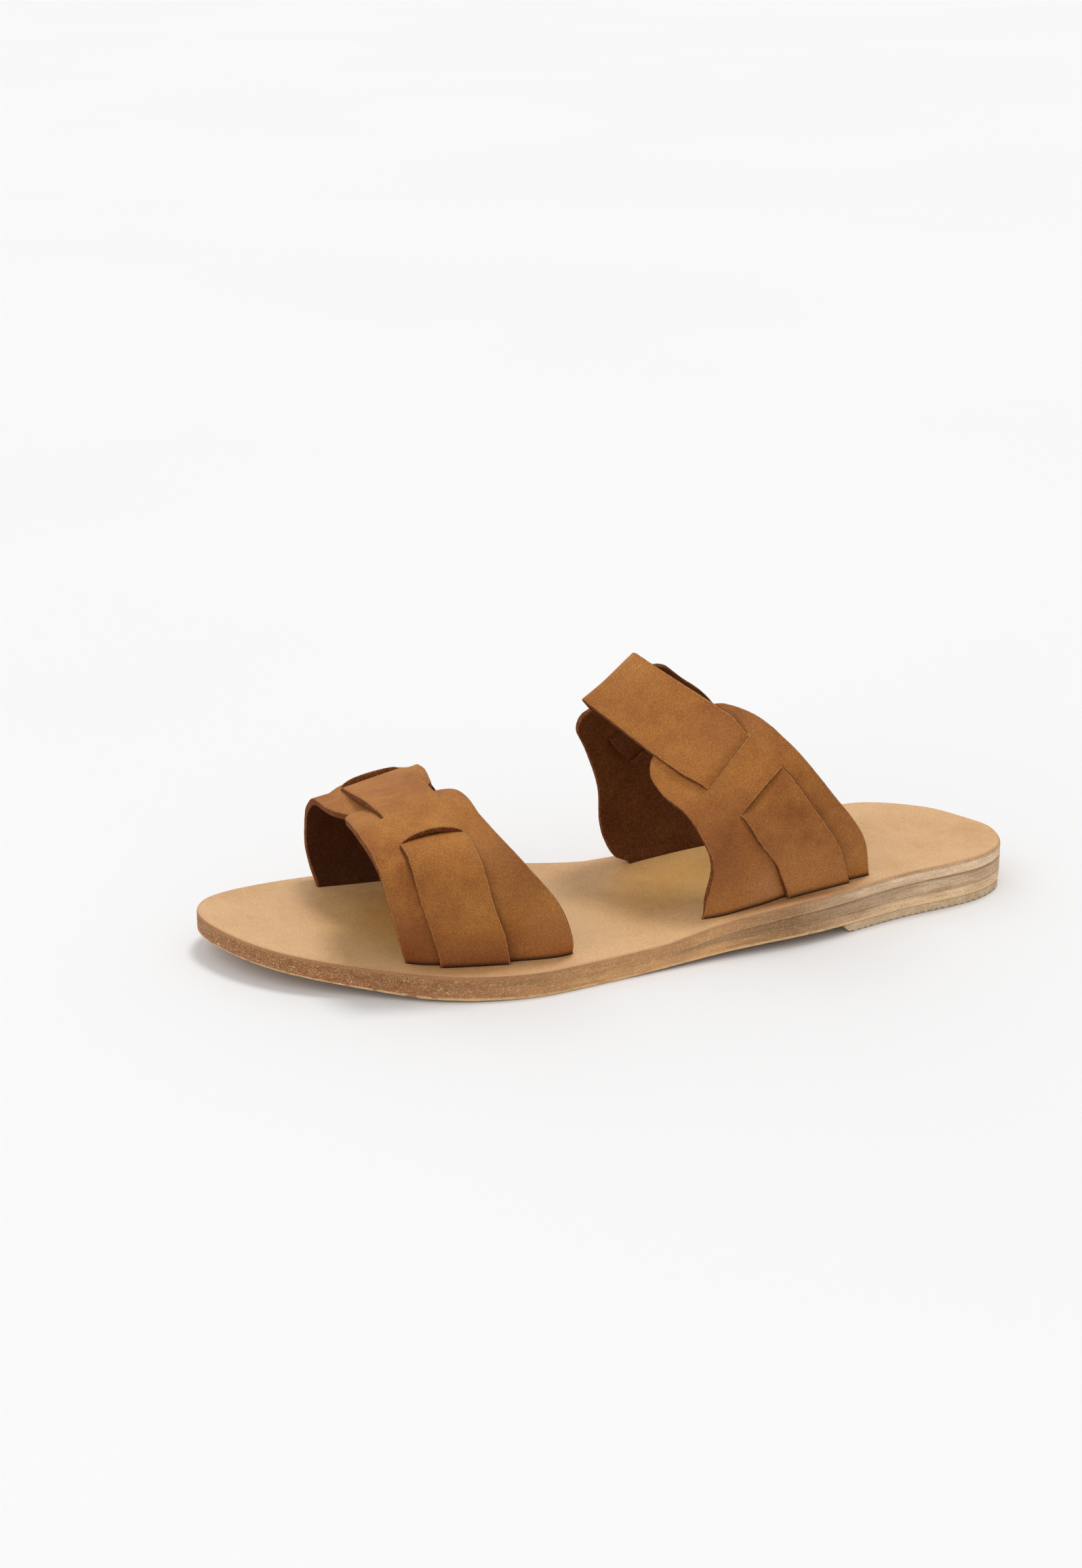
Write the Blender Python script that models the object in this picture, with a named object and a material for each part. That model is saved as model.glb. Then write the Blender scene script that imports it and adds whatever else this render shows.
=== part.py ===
"""Flat leather slide sandal, left foot: stacked sole and two slotted bands.

The toe points along -Y, the heel along +Y, +X is the outer (little toe) side
and the sole stands on z = 0. Tables and sizes are in millimetres, measured
along the sole from the back of the heel, across it from the line through the
middles of heel and ball (outer side positive), and up.
"""

import math
from collections import namedtuple

import bmesh
import bpy
import numpy
from mathutils import Vector

MM = 0.001

# Driving sizes, mm
LENGTH = 258.2          # back of the heel to the tip of the toe
GAP = 0.3               # clearance between neighbouring layers
OUTSOLE = 3.6           # thickness of the outsole
OUTSOLE_RIM = 0.6       # bevel along its lower edge in front of the heel
HEEL_RIM = 0.1          # and under the heel
FOOTBED = 4.0           # thickness of the footbed
PAD = 2.6               # thickness of the rubber heel pad
PAD_FRONT = 68.0        # where the heel pad ends
PAD_INSET = 0.2         # the pad stays this far inside the leather's edge
LEVEL_FRONT = 82.0      # the heel lies level behind here
FLAT_REAR = 151.5       # the forefoot lies flat from here
FLAT_FRONT = 165.5      # to here
TOE_SPRING = 5.4        # lift of the toe's tip above the floor
SKIVE = 1.7             # how much thinner the outsole is at its tip
SKIVE_REAR = 205.0      # where it starts to thin
TIP_CUT = 0.35          # the first and last sections stand this far inside the tips
RIM = 0.6               # chamfer along the footbed's upper edge
WALL = 2.4              # thickness of the band leather
BOND = 0.25             # how far a strap sinks into the panel that it lies on
ROOT = FOOTBED - GAP    # depth of a band's foot in its slot

# Plan of the sole, heel back -> outer side -> toe -> inner side
OutlinePoint = namedtuple("OutlinePoint", "name along across")
OUTLINE = [
    OutlinePoint("heel back", 0.0, 4.0),
    OutlinePoint("heel corner outer", 4.8, 18.0),
    OutlinePoint("heel outer", 17.5, 25.6),
    OutlinePoint("heel side outer", 46.5, 30.0),
    OutlinePoint("waist rear outer", 81.5, 37.3),
    OutlinePoint("waist outer", 113.5, 38.5),
    OutlinePoint("ball rear outer", 146.5, 41.7),
    OutlinePoint("ball outer", 173.5, 44.3),
    OutlinePoint("ball front outer", 197.5, 39.3),
    OutlinePoint("little toe", 221.5, 26.4),
    OutlinePoint("fourth toe", 241.5, 11.7),
    OutlinePoint("second toe", 253.3, -4.6),
    OutlinePoint("toe tip", 258.2, -21.5),
    OutlinePoint("big toe", 253.0, -34.2),
    OutlinePoint("big toe side", 237.5, -42.8),
    OutlinePoint("ball front inner", 211.5, -48.3),
    OutlinePoint("ball inner", 186.5, -48.4),
    OutlinePoint("ball rear inner", 161.5, -43.2),
    OutlinePoint("arch front", 131.5, -31.5),
    OutlinePoint("arch", 99.5, -23.2),
    OutlinePoint("arch rear", 71.5, -25.8),
    OutlinePoint("heel side inner", 49.5, -30.7),
    OutlinePoint("heel inner", 29.5, -31.6),
    OutlinePoint("heel corner inner", 11.8, -20.8),
    OutlinePoint("heel turn inner", 3.7, -7.6),
]

# How far the wedge under the heel lifts the footbed off the outsole
WedgeRow = namedtuple("WedgeRow", "along lift")
WEDGE = [
    WedgeRow(0.0, 4.3),
    WedgeRow(41.5, 4.3),
    WedgeRow(61.5, 4.0),
    WedgeRow(86.5, 3.4),
    WedgeRow(101.5, 2.65),
    WedgeRow(113.5, 1.8),
    WedgeRow(121.5, 0.9),
    WedgeRow(129.5, 0.0),
]
WEDGE_FRONT = 121.5     # where the wedge is skived to its thin end

# Rows across a band, in order round the foot from the outer slot to the inner
# slot. Each gives the outer surface at the band's front and rear edge, with
# its height above the footbed, and the share of the width, counted from the
# front edge, between which the link strap lies. A slot row may also say how far
# the foot bows outwards between those edges, in its front and its rear half.
BandRow = namedtuple(
    "BandRow",
    "name front_along front_across front_up rear_along rear_across rear_up "
    "strap_front strap_rear bow_front bow_rear", defaults=(0.0, 0.0))

FRONT_OUTER = [
    BandRow("slot", 208.2, 26.3, 0.0, 158.3, 34.9, 0.0, 0.19, 0.63, 2.6, 2.6),
    BandRow("low", 211.8, 29.5, 11.6, 160.1, 37.5, 8.2, 0.20, 0.625),
    BandRow("side", 215.4, 31.5, 24.9, 165.0, 38.5, 19.3, 0.19, 0.62),
    BandRow("shoulder", 217.0, 30.0, 32.0, 172.4, 34.5, 29.7, 0.21, 0.69),
    BandRow("lower slit", 217.9, 26.0, 35.9, 178.9, 22.0, 38.0, 0.24, 0.78),
    BandRow("upper slit", 219.0, 14.0, 38.8, 182.1, 4.0, 43.4, 0.26, 0.80),
    BandRow("flap end", 219.5, 4.0, 38.6, 185.3, -13.0, 38.9, 0.30, 0.85),
]
FRONT_INNER = [
    BandRow("flap end", 212.0, -3.0, 36.9, 184.7, -20.0, 38.9, 0.15, 0.85),
    BandRow("flap", 215.7, -22.0, 30.8, 183.5, -27.0, 39.4, 0.21, 0.86),
    BandRow("upper slit", 216.7, -37.0, 29.9, 183.7, -33.0, 39.8, 0.25, 0.84),
    BandRow("shoulder", 217.1, -42.0, 27.1, 180.5, -40.5, 36.0, 0.23, 0.80),
    BandRow("lower slit", 217.5, -44.5, 23.1, 177.5, -44.5, 31.2, 0.23, 0.72),
    BandRow("side", 217.7, -45.3, 12.4, 170.0, -45.7, 18.8, 0.20, 0.65),
    BandRow("low", 216.9, -43.5, 5.2, 164.5, -44.3, 7.3, 0.20, 0.60),
    BandRow("slot", 216.0, -39.5, 0.0, 162.5, -40.5, 0.0, 0.19, 0.59),
]
INSTEP_OUTER = [
    BandRow("slot", 115.5, 31.4, 0.0, 56.8, 26.5, 0.0, 0.47, 0.86, 3.0, 0.6),
    BandRow("low", 112.4, 32.5, 8.5, 61.7, 29.5, 15.0, 0.41, 0.83),
    BandRow("waist", 112.4, 33.5, 15.0, 73.1, 31.0, 32.3, 0.36, 0.82),
    BandRow("lower slit", 113.8, 33.0, 21.4, 82.4, 26.5, 45.0, 0.35, 0.83),
    BandRow("upper slit", 117.8, 25.2, 31.8, 89.9, 17.1, 53.4, 0.26, 0.82),
    BandRow("flap", 122.0, 15.2, 36.6, 94.2, 9.2, 55.6, 0.22, 0.89),
    BandRow("flap end", 124.5, 5.5, 43.2, 101.4, 1.9, 57.4, 0.20, 0.94),
]
INSTEP_INNER = [
    BandRow("flap end", 135.6, -27.0, 50.0, 107.5, -25.0, 64.2, 0.26, 0.74),
    BandRow("upper slit", 129.5, -29.0, 38.1, 98.0, -27.5, 55.2, 0.21, 0.72),
    BandRow("lower slit", 125.0, -30.0, 24.4, 87.5, -30.0, 45.6, 0.28, 0.72),
    BandRow("waist", 125.3, -27.5, 13.5, 73.5, -28.5, 24.7, 0.39, 0.80),
    BandRow("low", 124.0, -25.6, 6.8, 65.5, -23.5, 11.5, 0.46, 0.85),
    BandRow("slot", 118.0, -20.4, 0.0, 60.5, -17.5, 0.0, 0.50, 0.89),
]
# The instep strap's fold over the inner side of the foot, and how near to it
# the strap is still straight, as a share of its free stretches
INSTEP_FOLD = BandRow("fold", 135.3, -19.1, 59.9, 117.2, -21.0, 70.3, 0.0, 1.0)
FOLD_NEAR = 0.16
FOLD_FAR = 0.55
BOW_HEIGHT = 9.0        # run above the slot at which a foot's bow has gone
BOW_TURN = 0.3, 0.4     # share at which the front half's bow turns into the rear one's, and how fast
FLAP_CORNER = 6.0       # radius of the flaps' corners
SLIT_EASE = 3.5         # half the run in which a strap changes sides at a slit
ROW_PITCH = 4.0         # distance between a panel's cross rows
SECTIONS = 44           # cross-sections along the whole sole
SECTION_PITCH = 0.7     # the least distance between two of them
CUT_PAST = 2.0          # how far a slot's cutter reaches past the footbed's underside
PANEL_SHARES = [0.0, 0.08, 0.22, 0.38, 0.54, 0.70, 0.84, 0.94, 1.0]
STRAP_SHARES = [0.0, 0.25, 0.5, 0.75, 1.0]

Finish = namedtuple("Finish", "colour roughness")
FINISHES = {
    "natural_leather": Finish((0.56, 0.33, 0.16), 0.55),
    "stacked_leather": Finish((0.30, 0.17, 0.09), 0.70),
    "sole_leather": Finish((0.42, 0.24, 0.11), 0.85),
    "crepe_rubber": Finish((0.42, 0.33, 0.22), 0.80),
    "tan_leather": Finish((0.32, 0.14, 0.05), 0.62),
}


def ease(share):
    """Smooth step from 0 to 1."""
    held = min(max(share, 0.0), 1.0)
    return held * held * (3.0 - 2.0 * held)


def hermite(knots, values, at):
    """Smooth curve through values at knots; beyond the ends it runs straight."""
    last = len(knots) - 1
    cell = 0
    while cell < last - 1 and at > knots[cell + 1]:
        cell += 1

    def slope(index):
        """Slope at a knot, from its two neighbours."""
        before, after = max(index - 1, 0), min(index + 1, last)
        return (values[after] - values[before]) / (knots[after] - knots[before])

    span = knots[cell + 1] - knots[cell]
    share = (at - knots[cell]) / span
    if share < 0.0:
        return values[cell] + slope(cell) * (at - knots[cell])
    if share > 1.0:
        return values[cell + 1] + slope(cell + 1) * (at - knots[cell + 1])
    square, cube = share * share, share ** 3
    return (values[cell] * (2 * cube - 3 * square + 1)
            + slope(cell) * span * (cube - 2 * square + share)
            + values[cell + 1] * (3 * square - 2 * cube)
            + slope(cell + 1) * span * (cube - square))


# ---------------------------------------------------------------- sole plan

def outline_sides(steps=16):
    """The outer and the inner side of the plan as two (alongs, acrosses) pairs."""
    points = [Vector((p.along, p.across)) for p in OUTLINE]
    count = len(points)
    curve = []
    for index in range(count):
        four = [points[(index + k) % count] for k in (-1, 0, 1, 2)]
        knots = [0.0]
        for start, end in zip(four, four[1:]):
            knots.append(knots[-1] + (end - start).length)
        for step in range(steps):
            at = knots[1] + (knots[2] - knots[1]) * step / steps
            curve.append(hermite(knots, four, at))
    tip = max(range(len(curve)), key=lambda k: curve[k].x)
    outer = curve[:tip + 1]
    inner = [curve[0]] + curve[:tip - 1:-1]
    return [tuple(zip(*sorted((p.x, p.y) for p in side))) for side in (outer, inner)]


OUTER_SIDE, INNER_SIDE = outline_sides()
MID_ACROSS = (max(OUTER_SIDE[1]) + min(INNER_SIDE[1])) / 2


def place(along, across, up):
    """Point in metres for a place given along, across and up in millimetres."""
    return Vector((across - MID_ACROSS, LENGTH / 2 - along, up)) * MM


def underside(along):
    """Height of the stack's underside above the floor."""
    heel = (PAD + GAP) * ease((FLAT_REAR - along) / (FLAT_REAR - LEVEL_FRONT))
    toe = max(0.0, (along - FLAT_FRONT) / (LENGTH - FLAT_FRONT))
    return heel + TOE_SPRING * toe * toe


def outsole_low(along):
    """Height of the outsole's own underside, thinned towards the toe."""
    share = max(0.0, (along - SKIVE_REAR) / (LENGTH - SKIVE_REAR))
    return underside(along) + SKIVE * share * (2.0 - share)


def wedge_lift(along):
    """Height that the wedge adds between outsole and footbed."""
    return float(numpy.interp(along, [r.along for r in WEDGE], [r.lift for r in WEDGE]))


def outsole_foot(along):
    """Bevel along the outsole's lower edge."""
    share = ease((along - PAD_FRONT) / (LEVEL_FRONT - PAD_FRONT))
    return HEEL_RIM + (OUTSOLE_RIM - HEEL_RIM) * share


def outsole_top(along):
    """Height of the outsole's upper face."""
    return underside(along) + OUTSOLE


def wedge_bottom(along):
    """Height of the wedge's underside, just clear of the outsole."""
    return outsole_top(along) + GAP


def wedge_top(along):
    """Height of the wedge's upper face."""
    return outsole_top(along) + wedge_lift(along)


def footbed_bottom(along):
    """Height of the footbed's underside, just clear of the wedge or the outsole."""
    return wedge_top(along) + GAP


def footbed_top(along):
    """Height of the face that the foot stands on."""
    return footbed_bottom(along) + FOOTBED


def stations(first, last):
    """Places along the sole for its cross-sections, closer together at the round tips."""
    spread = [LENGTH / 2 * (1 - math.cos(math.pi * k / SECTIONS)) for k in range(SECTIONS + 1)]
    breaks = [first, last, LEVEL_FRONT, FLAT_REAR, FLAT_FRONT]
    breaks += [row.along for row in WEDGE]
    found = [b for b in sorted(set(breaks)) if first <= b <= last]
    for along in spread:
        if first < along < last and min(abs(along - b) for b in found) > SECTION_PITCH:
            found.append(along)
    return sorted(found)


# ---------------------------------------------------------------- mesh helpers

def add_object(name, mesh, finish):
    """Put a mesh in the scene as a named object with its own material."""
    look = FINISHES[finish]
    material = bpy.data.materials.new(name + "_" + finish)
    material.use_nodes = True
    shader = material.node_tree.nodes["Principled BSDF"]
    shader.inputs["Base Color"].default_value = (*look.colour, 1.0)
    shader.inputs["Roughness"].default_value = look.roughness
    shader.inputs["Metallic"].default_value = 0.0
    mesh.materials.append(material)
    item = bpy.data.objects.new(name, mesh)
    bpy.context.scene.collection.objects.link(item)
    return item


def loft(name, rings, finish):
    """Solid through closed rings of points, bridged one to the next and capped."""
    work = bmesh.new()
    previous = None
    ends = []
    for ring in rings:
        verts = [work.verts.new(point) for point in ring]
        edges = [work.edges.new((a, b)) for a, b in zip(verts, verts[1:] + verts[:1])]
        if previous is None:
            ends.append(edges)
        else:
            bmesh.ops.bridge_loops(work, edges=previous + edges)
        previous = edges
    ends.append(previous)
    for edges in ends:
        bmesh.ops.contextual_create(work, geom=edges)
    bmesh.ops.recalc_face_normals(work, faces=work.faces)
    mesh = bpy.data.meshes.new(name)
    work.to_mesh(mesh)
    work.free()
    return add_object(name, mesh, finish)


def layer(name, first, last, low, high, finish, inset=0.0, rim=None, foot=None):
    """One layer of the sole between the heights low and high, inside the plan.

    rim and foot give the bevels along its upper and its lower edge.
    """
    rings = []
    for along in stations(first, last):
        outer = float(numpy.interp(along, *OUTER_SIDE)) - inset
        inner = float(numpy.interp(along, *INNER_SIDE)) + inset
        bottom, top = low(along), high(along)
        cut, rise = (bevel(along) if bevel else 0.0 for bevel in (rim, foot))
        ring = [(outer, bottom + rise), (outer, top - cut)]
        if rim:
            ring += [(outer - cut, top), (inner + cut, top)]
        ring += [(inner, top - cut), (inner, bottom + rise)]
        if foot:
            ring += [(inner + rise, bottom), (outer - rise, bottom)]
        rings.append([place(along, across, up) for across, up in ring])
    return loft(name, rings, finish)


def sheet(name, point_at, runs, shares, thickness, finish):
    """Sheet of leather through point_at(run, share), thickened to both sides."""
    work = bmesh.new()
    bmesh.ops.create_grid(work, x_segments=len(shares) - 1, y_segments=len(runs) - 1, size=0.5)
    work.verts.ensure_lookup_table()
    order = sorted(work.verts, key=lambda v: (round(v.co.y, 5), round(v.co.x, 5)))
    for index, vert in enumerate(order):
        run, share = runs[index // len(shares)], shares[index % len(shares)]
        vert.co = point_at(run, share)
    work.normal_update()
    mesh = bpy.data.meshes.new(name)
    work.to_mesh(mesh)
    work.free()
    item = add_object(name, mesh, finish)
    skin = item.modifiers.new("wall", 'SOLIDIFY')
    skin.thickness = thickness * MM
    skin.offset = 0.0
    return item


def as_tool(item):
    """Mark an object as a helper that only shapes others."""
    item.hide_render = True
    item.display_type = 'WIRE'
    return item


def combine(item, tool, operation):
    """Boolean the tool into or out of the item."""
    step = item.modifiers.new(tool.name, 'BOOLEAN')
    step.operation = operation
    step.object = as_tool(tool)


# ---------------------------------------------------------------- bands

class Panel:
    """One panel of a band, lofted from its front edge to its rear edge."""

    def __init__(self, rows):
        """Take the rows in their order round the foot and measure the runs between them."""
        self.front = [Vector((r.front_along, r.front_across, r.front_up)) for r in rows]
        self.rear = [Vector((r.rear_along, r.rear_across, r.rear_up)) for r in rows]
        self.strap_front = [r.strap_front for r in rows]
        self.strap_rear = [r.strap_rear for r in rows]
        self.knots = [0.0]
        for index in range(1, len(rows)):
            step = (self.front[index] + self.rear[index]
                    - self.front[index - 1] - self.rear[index - 1]).length / 2
            self.knots.append(self.knots[-1] + step)
        self.run_of = {row.name: knot for row, knot in zip(rows, self.knots)}
        self.outer_first = rows[0].name == "slot"
        slot = rows[0 if self.outer_first else -1]
        self.bow = slot.bow_front, slot.bow_rear

    @property
    def length(self):
        """Length of the panel from its slot to its flap's end."""
        return self.knots[-1]

    def edge(self, points, run):
        """Point on one edge; past the slot row it goes straight down into the sole."""
        slot = 0.0 if self.outer_first else self.length
        beyond = slot - run if self.outer_first else run - slot
        if beyond > 0.0:
            return hermite(self.knots, points, slot) - Vector((0, 0, beyond))
        return hermite(self.knots, points, run)

    def bowed(self, run, share):
        """How far the foot bows out of the straight line between the edges."""
        rise = run if self.outer_first else self.length - run
        first, speed = BOW_TURN
        front, rear = self.bow
        bow = front + (rear - front) * ease((share - first) / speed)
        return bow * (1.0 - abs(2.0 * share - 1.0) ** 6) * (1.0 - ease(rise / BOW_HEIGHT))

    def outside(self, run, share):
        """Point on the panel's outer surface."""
        spot = self.edge(self.front, run).lerp(self.edge(self.rear, run), share)
        out = self.bowed(run, share) * (1.0 if self.outer_first else -1.0)
        return place(spot.x, spot.y + out, spot.z + footbed_top(spot.x))

    def normal(self, run, share):
        """Direction out of the foot."""
        step = 0.5
        along_run = self.outside(run + step, share) - self.outside(run - step, share)
        across = self.outside(run, share + 0.01) - self.outside(run, share - 0.01)
        return across.cross(along_run).normalized()

    def middle(self, run, share, lift=0.0):
        """Point on the wall's middle surface, moved outwards by lift."""
        depth = (lift - WALL / 2) * MM
        return self.outside(run, share) + self.normal(run, share) * depth

    def corner(self, run, share):
        """Share with the flap's two corners rounded off."""
        flap_end = self.run_of["flap end"]
        inside = FLAP_CORNER - abs(run - flap_end)
        if inside <= 0.0:
            return share
        width = (self.edge(self.rear, run) - self.edge(self.front, run)).length
        cut = FLAP_CORNER - math.sqrt(FLAP_CORNER ** 2 - inside ** 2)
        return 0.5 + (share - 0.5) * (1.0 - 2.0 * cut / width)

    def strap_side(self, run):
        """+1 where the strap lies outside the panel, -1 between the two slits."""
        lower, upper = self.run_of["lower slit"], self.run_of["upper slit"]
        first, second = min(lower, upper), max(lower, upper)
        down = ease((run - first + SLIT_EASE) / (2 * SLIT_EASE))
        back = ease((run - second + SLIT_EASE) / (2 * SLIT_EASE))
        return 1.0 - 2.0 * (down - back)

    def strap_pair(self, run):
        """Front and rear edge of the strap's middle surface at this run."""
        at = min(max(run, 0.0), self.length)
        lift = self.strap_side(run) * (WALL - BOND)
        shares = (hermite(self.knots, self.strap_front, at),
                  hermite(self.knots, self.strap_rear, at))
        return [self.middle(run, share, lift) for share in shares]


def spaced(first, last, pitch):
    """Evenly spaced values from first to last, about pitch apart."""
    count = max(2, round(abs(last - first) / pitch) + 1)
    return [first + (last - first) * k / (count - 1) for k in range(count)]


def strap_runs(panel):
    """Where the strap has its cross rows while it lies on this panel."""
    runs = [-ROOT] + spaced(0.0, panel.length - 1.0, ROW_PITCH * 0.75)
    if panel.outer_first:
        return runs
    return [panel.length - run for run in reversed(runs)]


def panel_runs(panel):
    """Where a panel has its cross rows: foot, slot, body and rounded flap."""
    flap = [FLAP_CORNER * part for part in (0.0, 0.12, 0.35, 0.65)]
    body = spaced(0.0, panel.length - FLAP_CORNER, ROW_PITCH)
    runs = [-ROOT] + body + [panel.length - part for part in reversed(flap)]
    if panel.outer_first:
        return runs
    return [panel.length - run for run in reversed(runs)]


def panel_sheet(name, panel):
    """The panel's own wall."""
    return sheet(name, lambda run, share: panel.middle(run, panel.corner(run, share)),
                 panel_runs(panel), PANEL_SHARES, WALL, "tan_leather")


def fold_pairs(outer_end, fold, inner_start):
    """Free stretch of the instep strap: straight, sharply folded, straight again."""
    crest = [place(fold.front_along, fold.front_across,
                   fold.front_up + footbed_top(fold.front_along)),
             place(fold.rear_along, fold.rear_across,
                   fold.rear_up + footbed_top(fold.rear_along))]
    drop = Vector((0, 0, -WALL / 2 * MM))
    crest = [point + drop for point in crest]
    pairs = []
    for share in (FOLD_FAR, FOLD_NEAR):
        pairs.append([c.lerp(e, share) for c, e in zip(crest, outer_end)])
    pairs.append(crest)
    for share in (FOLD_NEAR, FOLD_FAR):
        pairs.append([c.lerp(e, share) for c, e in zip(crest, inner_start)])
    return pairs


def build_band(name, outer_rows, inner_rows, fold=None):
    """One band: outer panel, inner panel and the link strap woven through both."""
    outer, inner = Panel(outer_rows), Panel(inner_rows)
    band = panel_sheet(name, outer)
    far_side = panel_sheet(name + "_inner_panel", inner)
    pairs = [outer.strap_pair(run) for run in strap_runs(outer)]
    arrival = [inner.strap_pair(run) for run in strap_runs(inner)]
    if fold:
        pairs += fold_pairs(pairs[-1], fold, arrival[0])
    pairs += arrival
    strap = sheet(name + "_strap", lambda index, share: pairs[index][0].lerp(pairs[index][1], share),
                  range(len(pairs)), STRAP_SHARES, WALL, "tan_leather")
    combine(band, strap, 'UNION')
    combine(band, far_side, 'UNION')
    return band


def slot_tools(name, rows):
    """Cutters for the slot that takes a panel's foot and the strap on it."""
    panel = Panel(rows)
    width = WALL + 2 * GAP
    foot = slice(0, 3) if panel.outer_first else slice(-3, None)

    def deeper(run):
        """Foot rows moved down through the footbed's underside."""
        return run - CUT_PAST if run < 0.0 else run + CUT_PAST if run > panel.length else run

    def widened(share, edge):
        """Edge shares moved outwards by the clearance."""
        return -edge if share == 0.0 else 1.0 + edge if share == 1.0 else share

    edge = GAP / (panel.front[0] - panel.rear[0]).length
    cut_panel = sheet(name + "_panel", panel.middle,
                      [deeper(run) for run in panel_runs(panel)[foot]],
                      [widened(share, edge) for share in PANEL_SHARES], width, "tan_leather")

    def strap_at(run, share):
        """Point on the strap's middle surface, its edges moved out by the clearance."""
        front, rear = panel.strap_pair(run)
        return front.lerp(rear, widened(share, GAP * MM / (front - rear).length))

    cut_strap = sheet(name + "_strap", strap_at, [deeper(run) for run in strap_runs(panel)[foot]],
                      STRAP_SHARES, width, "tan_leather")
    return [cut_panel, cut_strap]


# ---------------------------------------------------------------- the sandal

def build_sole():
    """Outsole, heel pad, wedge and slotted footbed."""
    first, last = TIP_CUT, LENGTH - TIP_CUT
    layer("outsole", first, last, outsole_low, outsole_top, "sole_leather", foot=outsole_foot)
    layer("heel_pad", first + PAD_INSET, PAD_FRONT, lambda along: 0.0, lambda along: PAD,
          "crepe_rubber", inset=PAD_INSET)
    layer("heel_wedge", first, WEDGE_FRONT, wedge_bottom, wedge_top, "stacked_leather")
    footbed = layer("footbed", first, last, footbed_bottom, footbed_top,
                    "natural_leather", rim=lambda along: RIM)
    slots = [("front_outer", FRONT_OUTER), ("front_inner", FRONT_INNER),
             ("instep_outer", INSTEP_OUTER), ("instep_inner", INSTEP_INNER)]
    for name, rows in slots:
        for tool in slot_tools("slot_" + name, rows):
            combine(footbed, tool, 'DIFFERENCE')


def main():
    """Clear the scene and build the sandal."""
    for item in list(bpy.data.objects):
        bpy.data.objects.remove(item)
    build_sole()
    build_band("front_band", FRONT_OUTER, FRONT_INNER)
    build_band("instep_band", INSTEP_OUTER, INSTEP_INNER, INSTEP_FOLD)


main()
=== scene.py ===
"""Flat leather slide sandal, left foot: its looks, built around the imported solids.

The toe points along -Y, the heel along +Y, +X is the outer (little toe) side and
the sole stands on z = 0. Sizes are in millimetres. Tables give places along the
sole from the back of the heel, across it with the outer side positive, and up.
"""

import logging
import math
from dataclasses import dataclass, field
from enum import Enum
from typing import Any, Callable, NamedTuple, Sequence

import bmesh
import bpy
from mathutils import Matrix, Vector, noise


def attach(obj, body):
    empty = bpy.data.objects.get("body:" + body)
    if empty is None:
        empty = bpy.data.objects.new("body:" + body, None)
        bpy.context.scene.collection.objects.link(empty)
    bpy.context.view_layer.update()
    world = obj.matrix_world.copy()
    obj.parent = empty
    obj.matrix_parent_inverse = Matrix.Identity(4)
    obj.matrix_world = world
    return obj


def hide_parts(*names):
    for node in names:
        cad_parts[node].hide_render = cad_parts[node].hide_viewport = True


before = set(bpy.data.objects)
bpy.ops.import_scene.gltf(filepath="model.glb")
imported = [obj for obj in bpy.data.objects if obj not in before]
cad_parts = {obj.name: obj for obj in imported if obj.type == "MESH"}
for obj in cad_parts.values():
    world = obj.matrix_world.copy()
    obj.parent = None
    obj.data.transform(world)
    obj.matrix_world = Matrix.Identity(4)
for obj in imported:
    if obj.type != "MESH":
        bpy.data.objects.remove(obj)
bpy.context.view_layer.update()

log = logging.getLogger("sandal")

MM = 0.001
BODY = "root"
HAIR = 1e-6             # closer than this counts as being there
PLACES = 5              # decimals by which a hide's rows and columns are told apart
ON_PLANE = 1e-5         # a point this close to a cut lies on it
NUDGE = 0.004           # the two lips of a slit are first laid this far apart
RIM_REACH = 1.6         # the rim of a sole layer is marked this far inwards


# ---------------------------------------------------------------- small maths

def ease(share: float) -> float:
    """Smooth step from 0 at its foot to 1 at its head, held to them beyond its ends."""
    held = min(max(share, 0.0), 1.0)
    return held * held * (3.0 - 2.0 * held)


def between(first: float, second: float, share: float) -> float:
    """Value a share of the way from first to second."""
    return first + (second - first) * share


def cubic(start: Any, leaving: Any, end: Any, coming: Any, span: float, share: float) -> Any:
    """Point on the cubic curve that has given ends and given slopes there.

    Args:
        start: Number or vector at its start.
        leaving: Slope there.
        end: Number or vector at its end.
        coming: Slope there.
        span: Distance between the ends.
        share: Where to read it, from 0 to 1.

    Returns:
        The value of the curve there.
    """
    square, cube = share * share, share ** 3
    return (start * (2 * cube - 3 * square + 1) + leaving * span * (cube - 2 * square + share)
            + end * (3 * square - 2 * cube) + coming * span * (cube - square))


def hermite(knots: Sequence[float], values: Sequence[Any], at: float) -> Any:
    """Smooth curve through values at knots; beyond the ends it runs straight.

    Args:
        knots: Rising places of the values.
        values: Numbers or vectors, one for each knot.
        at: Where to read the curve.

    Returns:
        The value of the curve there.
    """
    last = len(knots) - 1
    cell = 0
    while cell < last - 1 and at > knots[cell + 1]:
        cell += 1

    def slope(index: int) -> Any:
        """Slope at a knot, from its two neighbours."""
        before, after = max(index - 1, 0), min(index + 1, last)
        return (values[after] - values[before]) / (knots[after] - knots[before])

    span = knots[cell + 1] - knots[cell]
    share = (at - knots[cell]) / span
    if share < 0.0:
        return values[cell] + slope(cell) * (at - knots[cell])
    if share > 1.0:
        return values[cell + 1] + slope(cell + 1) * (at - knots[cell + 1])
    return cubic(values[cell], slope(cell), values[cell + 1], slope(cell + 1), span, share)


def spaced(first: float, last: float, pitch: float) -> list[float]:
    """Evenly spaced values from first to last, about pitch apart."""
    count = max(2, round(abs(last - first) / pitch) + 1)
    return [between(first, last, k / (count - 1)) for k in range(count)]


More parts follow.
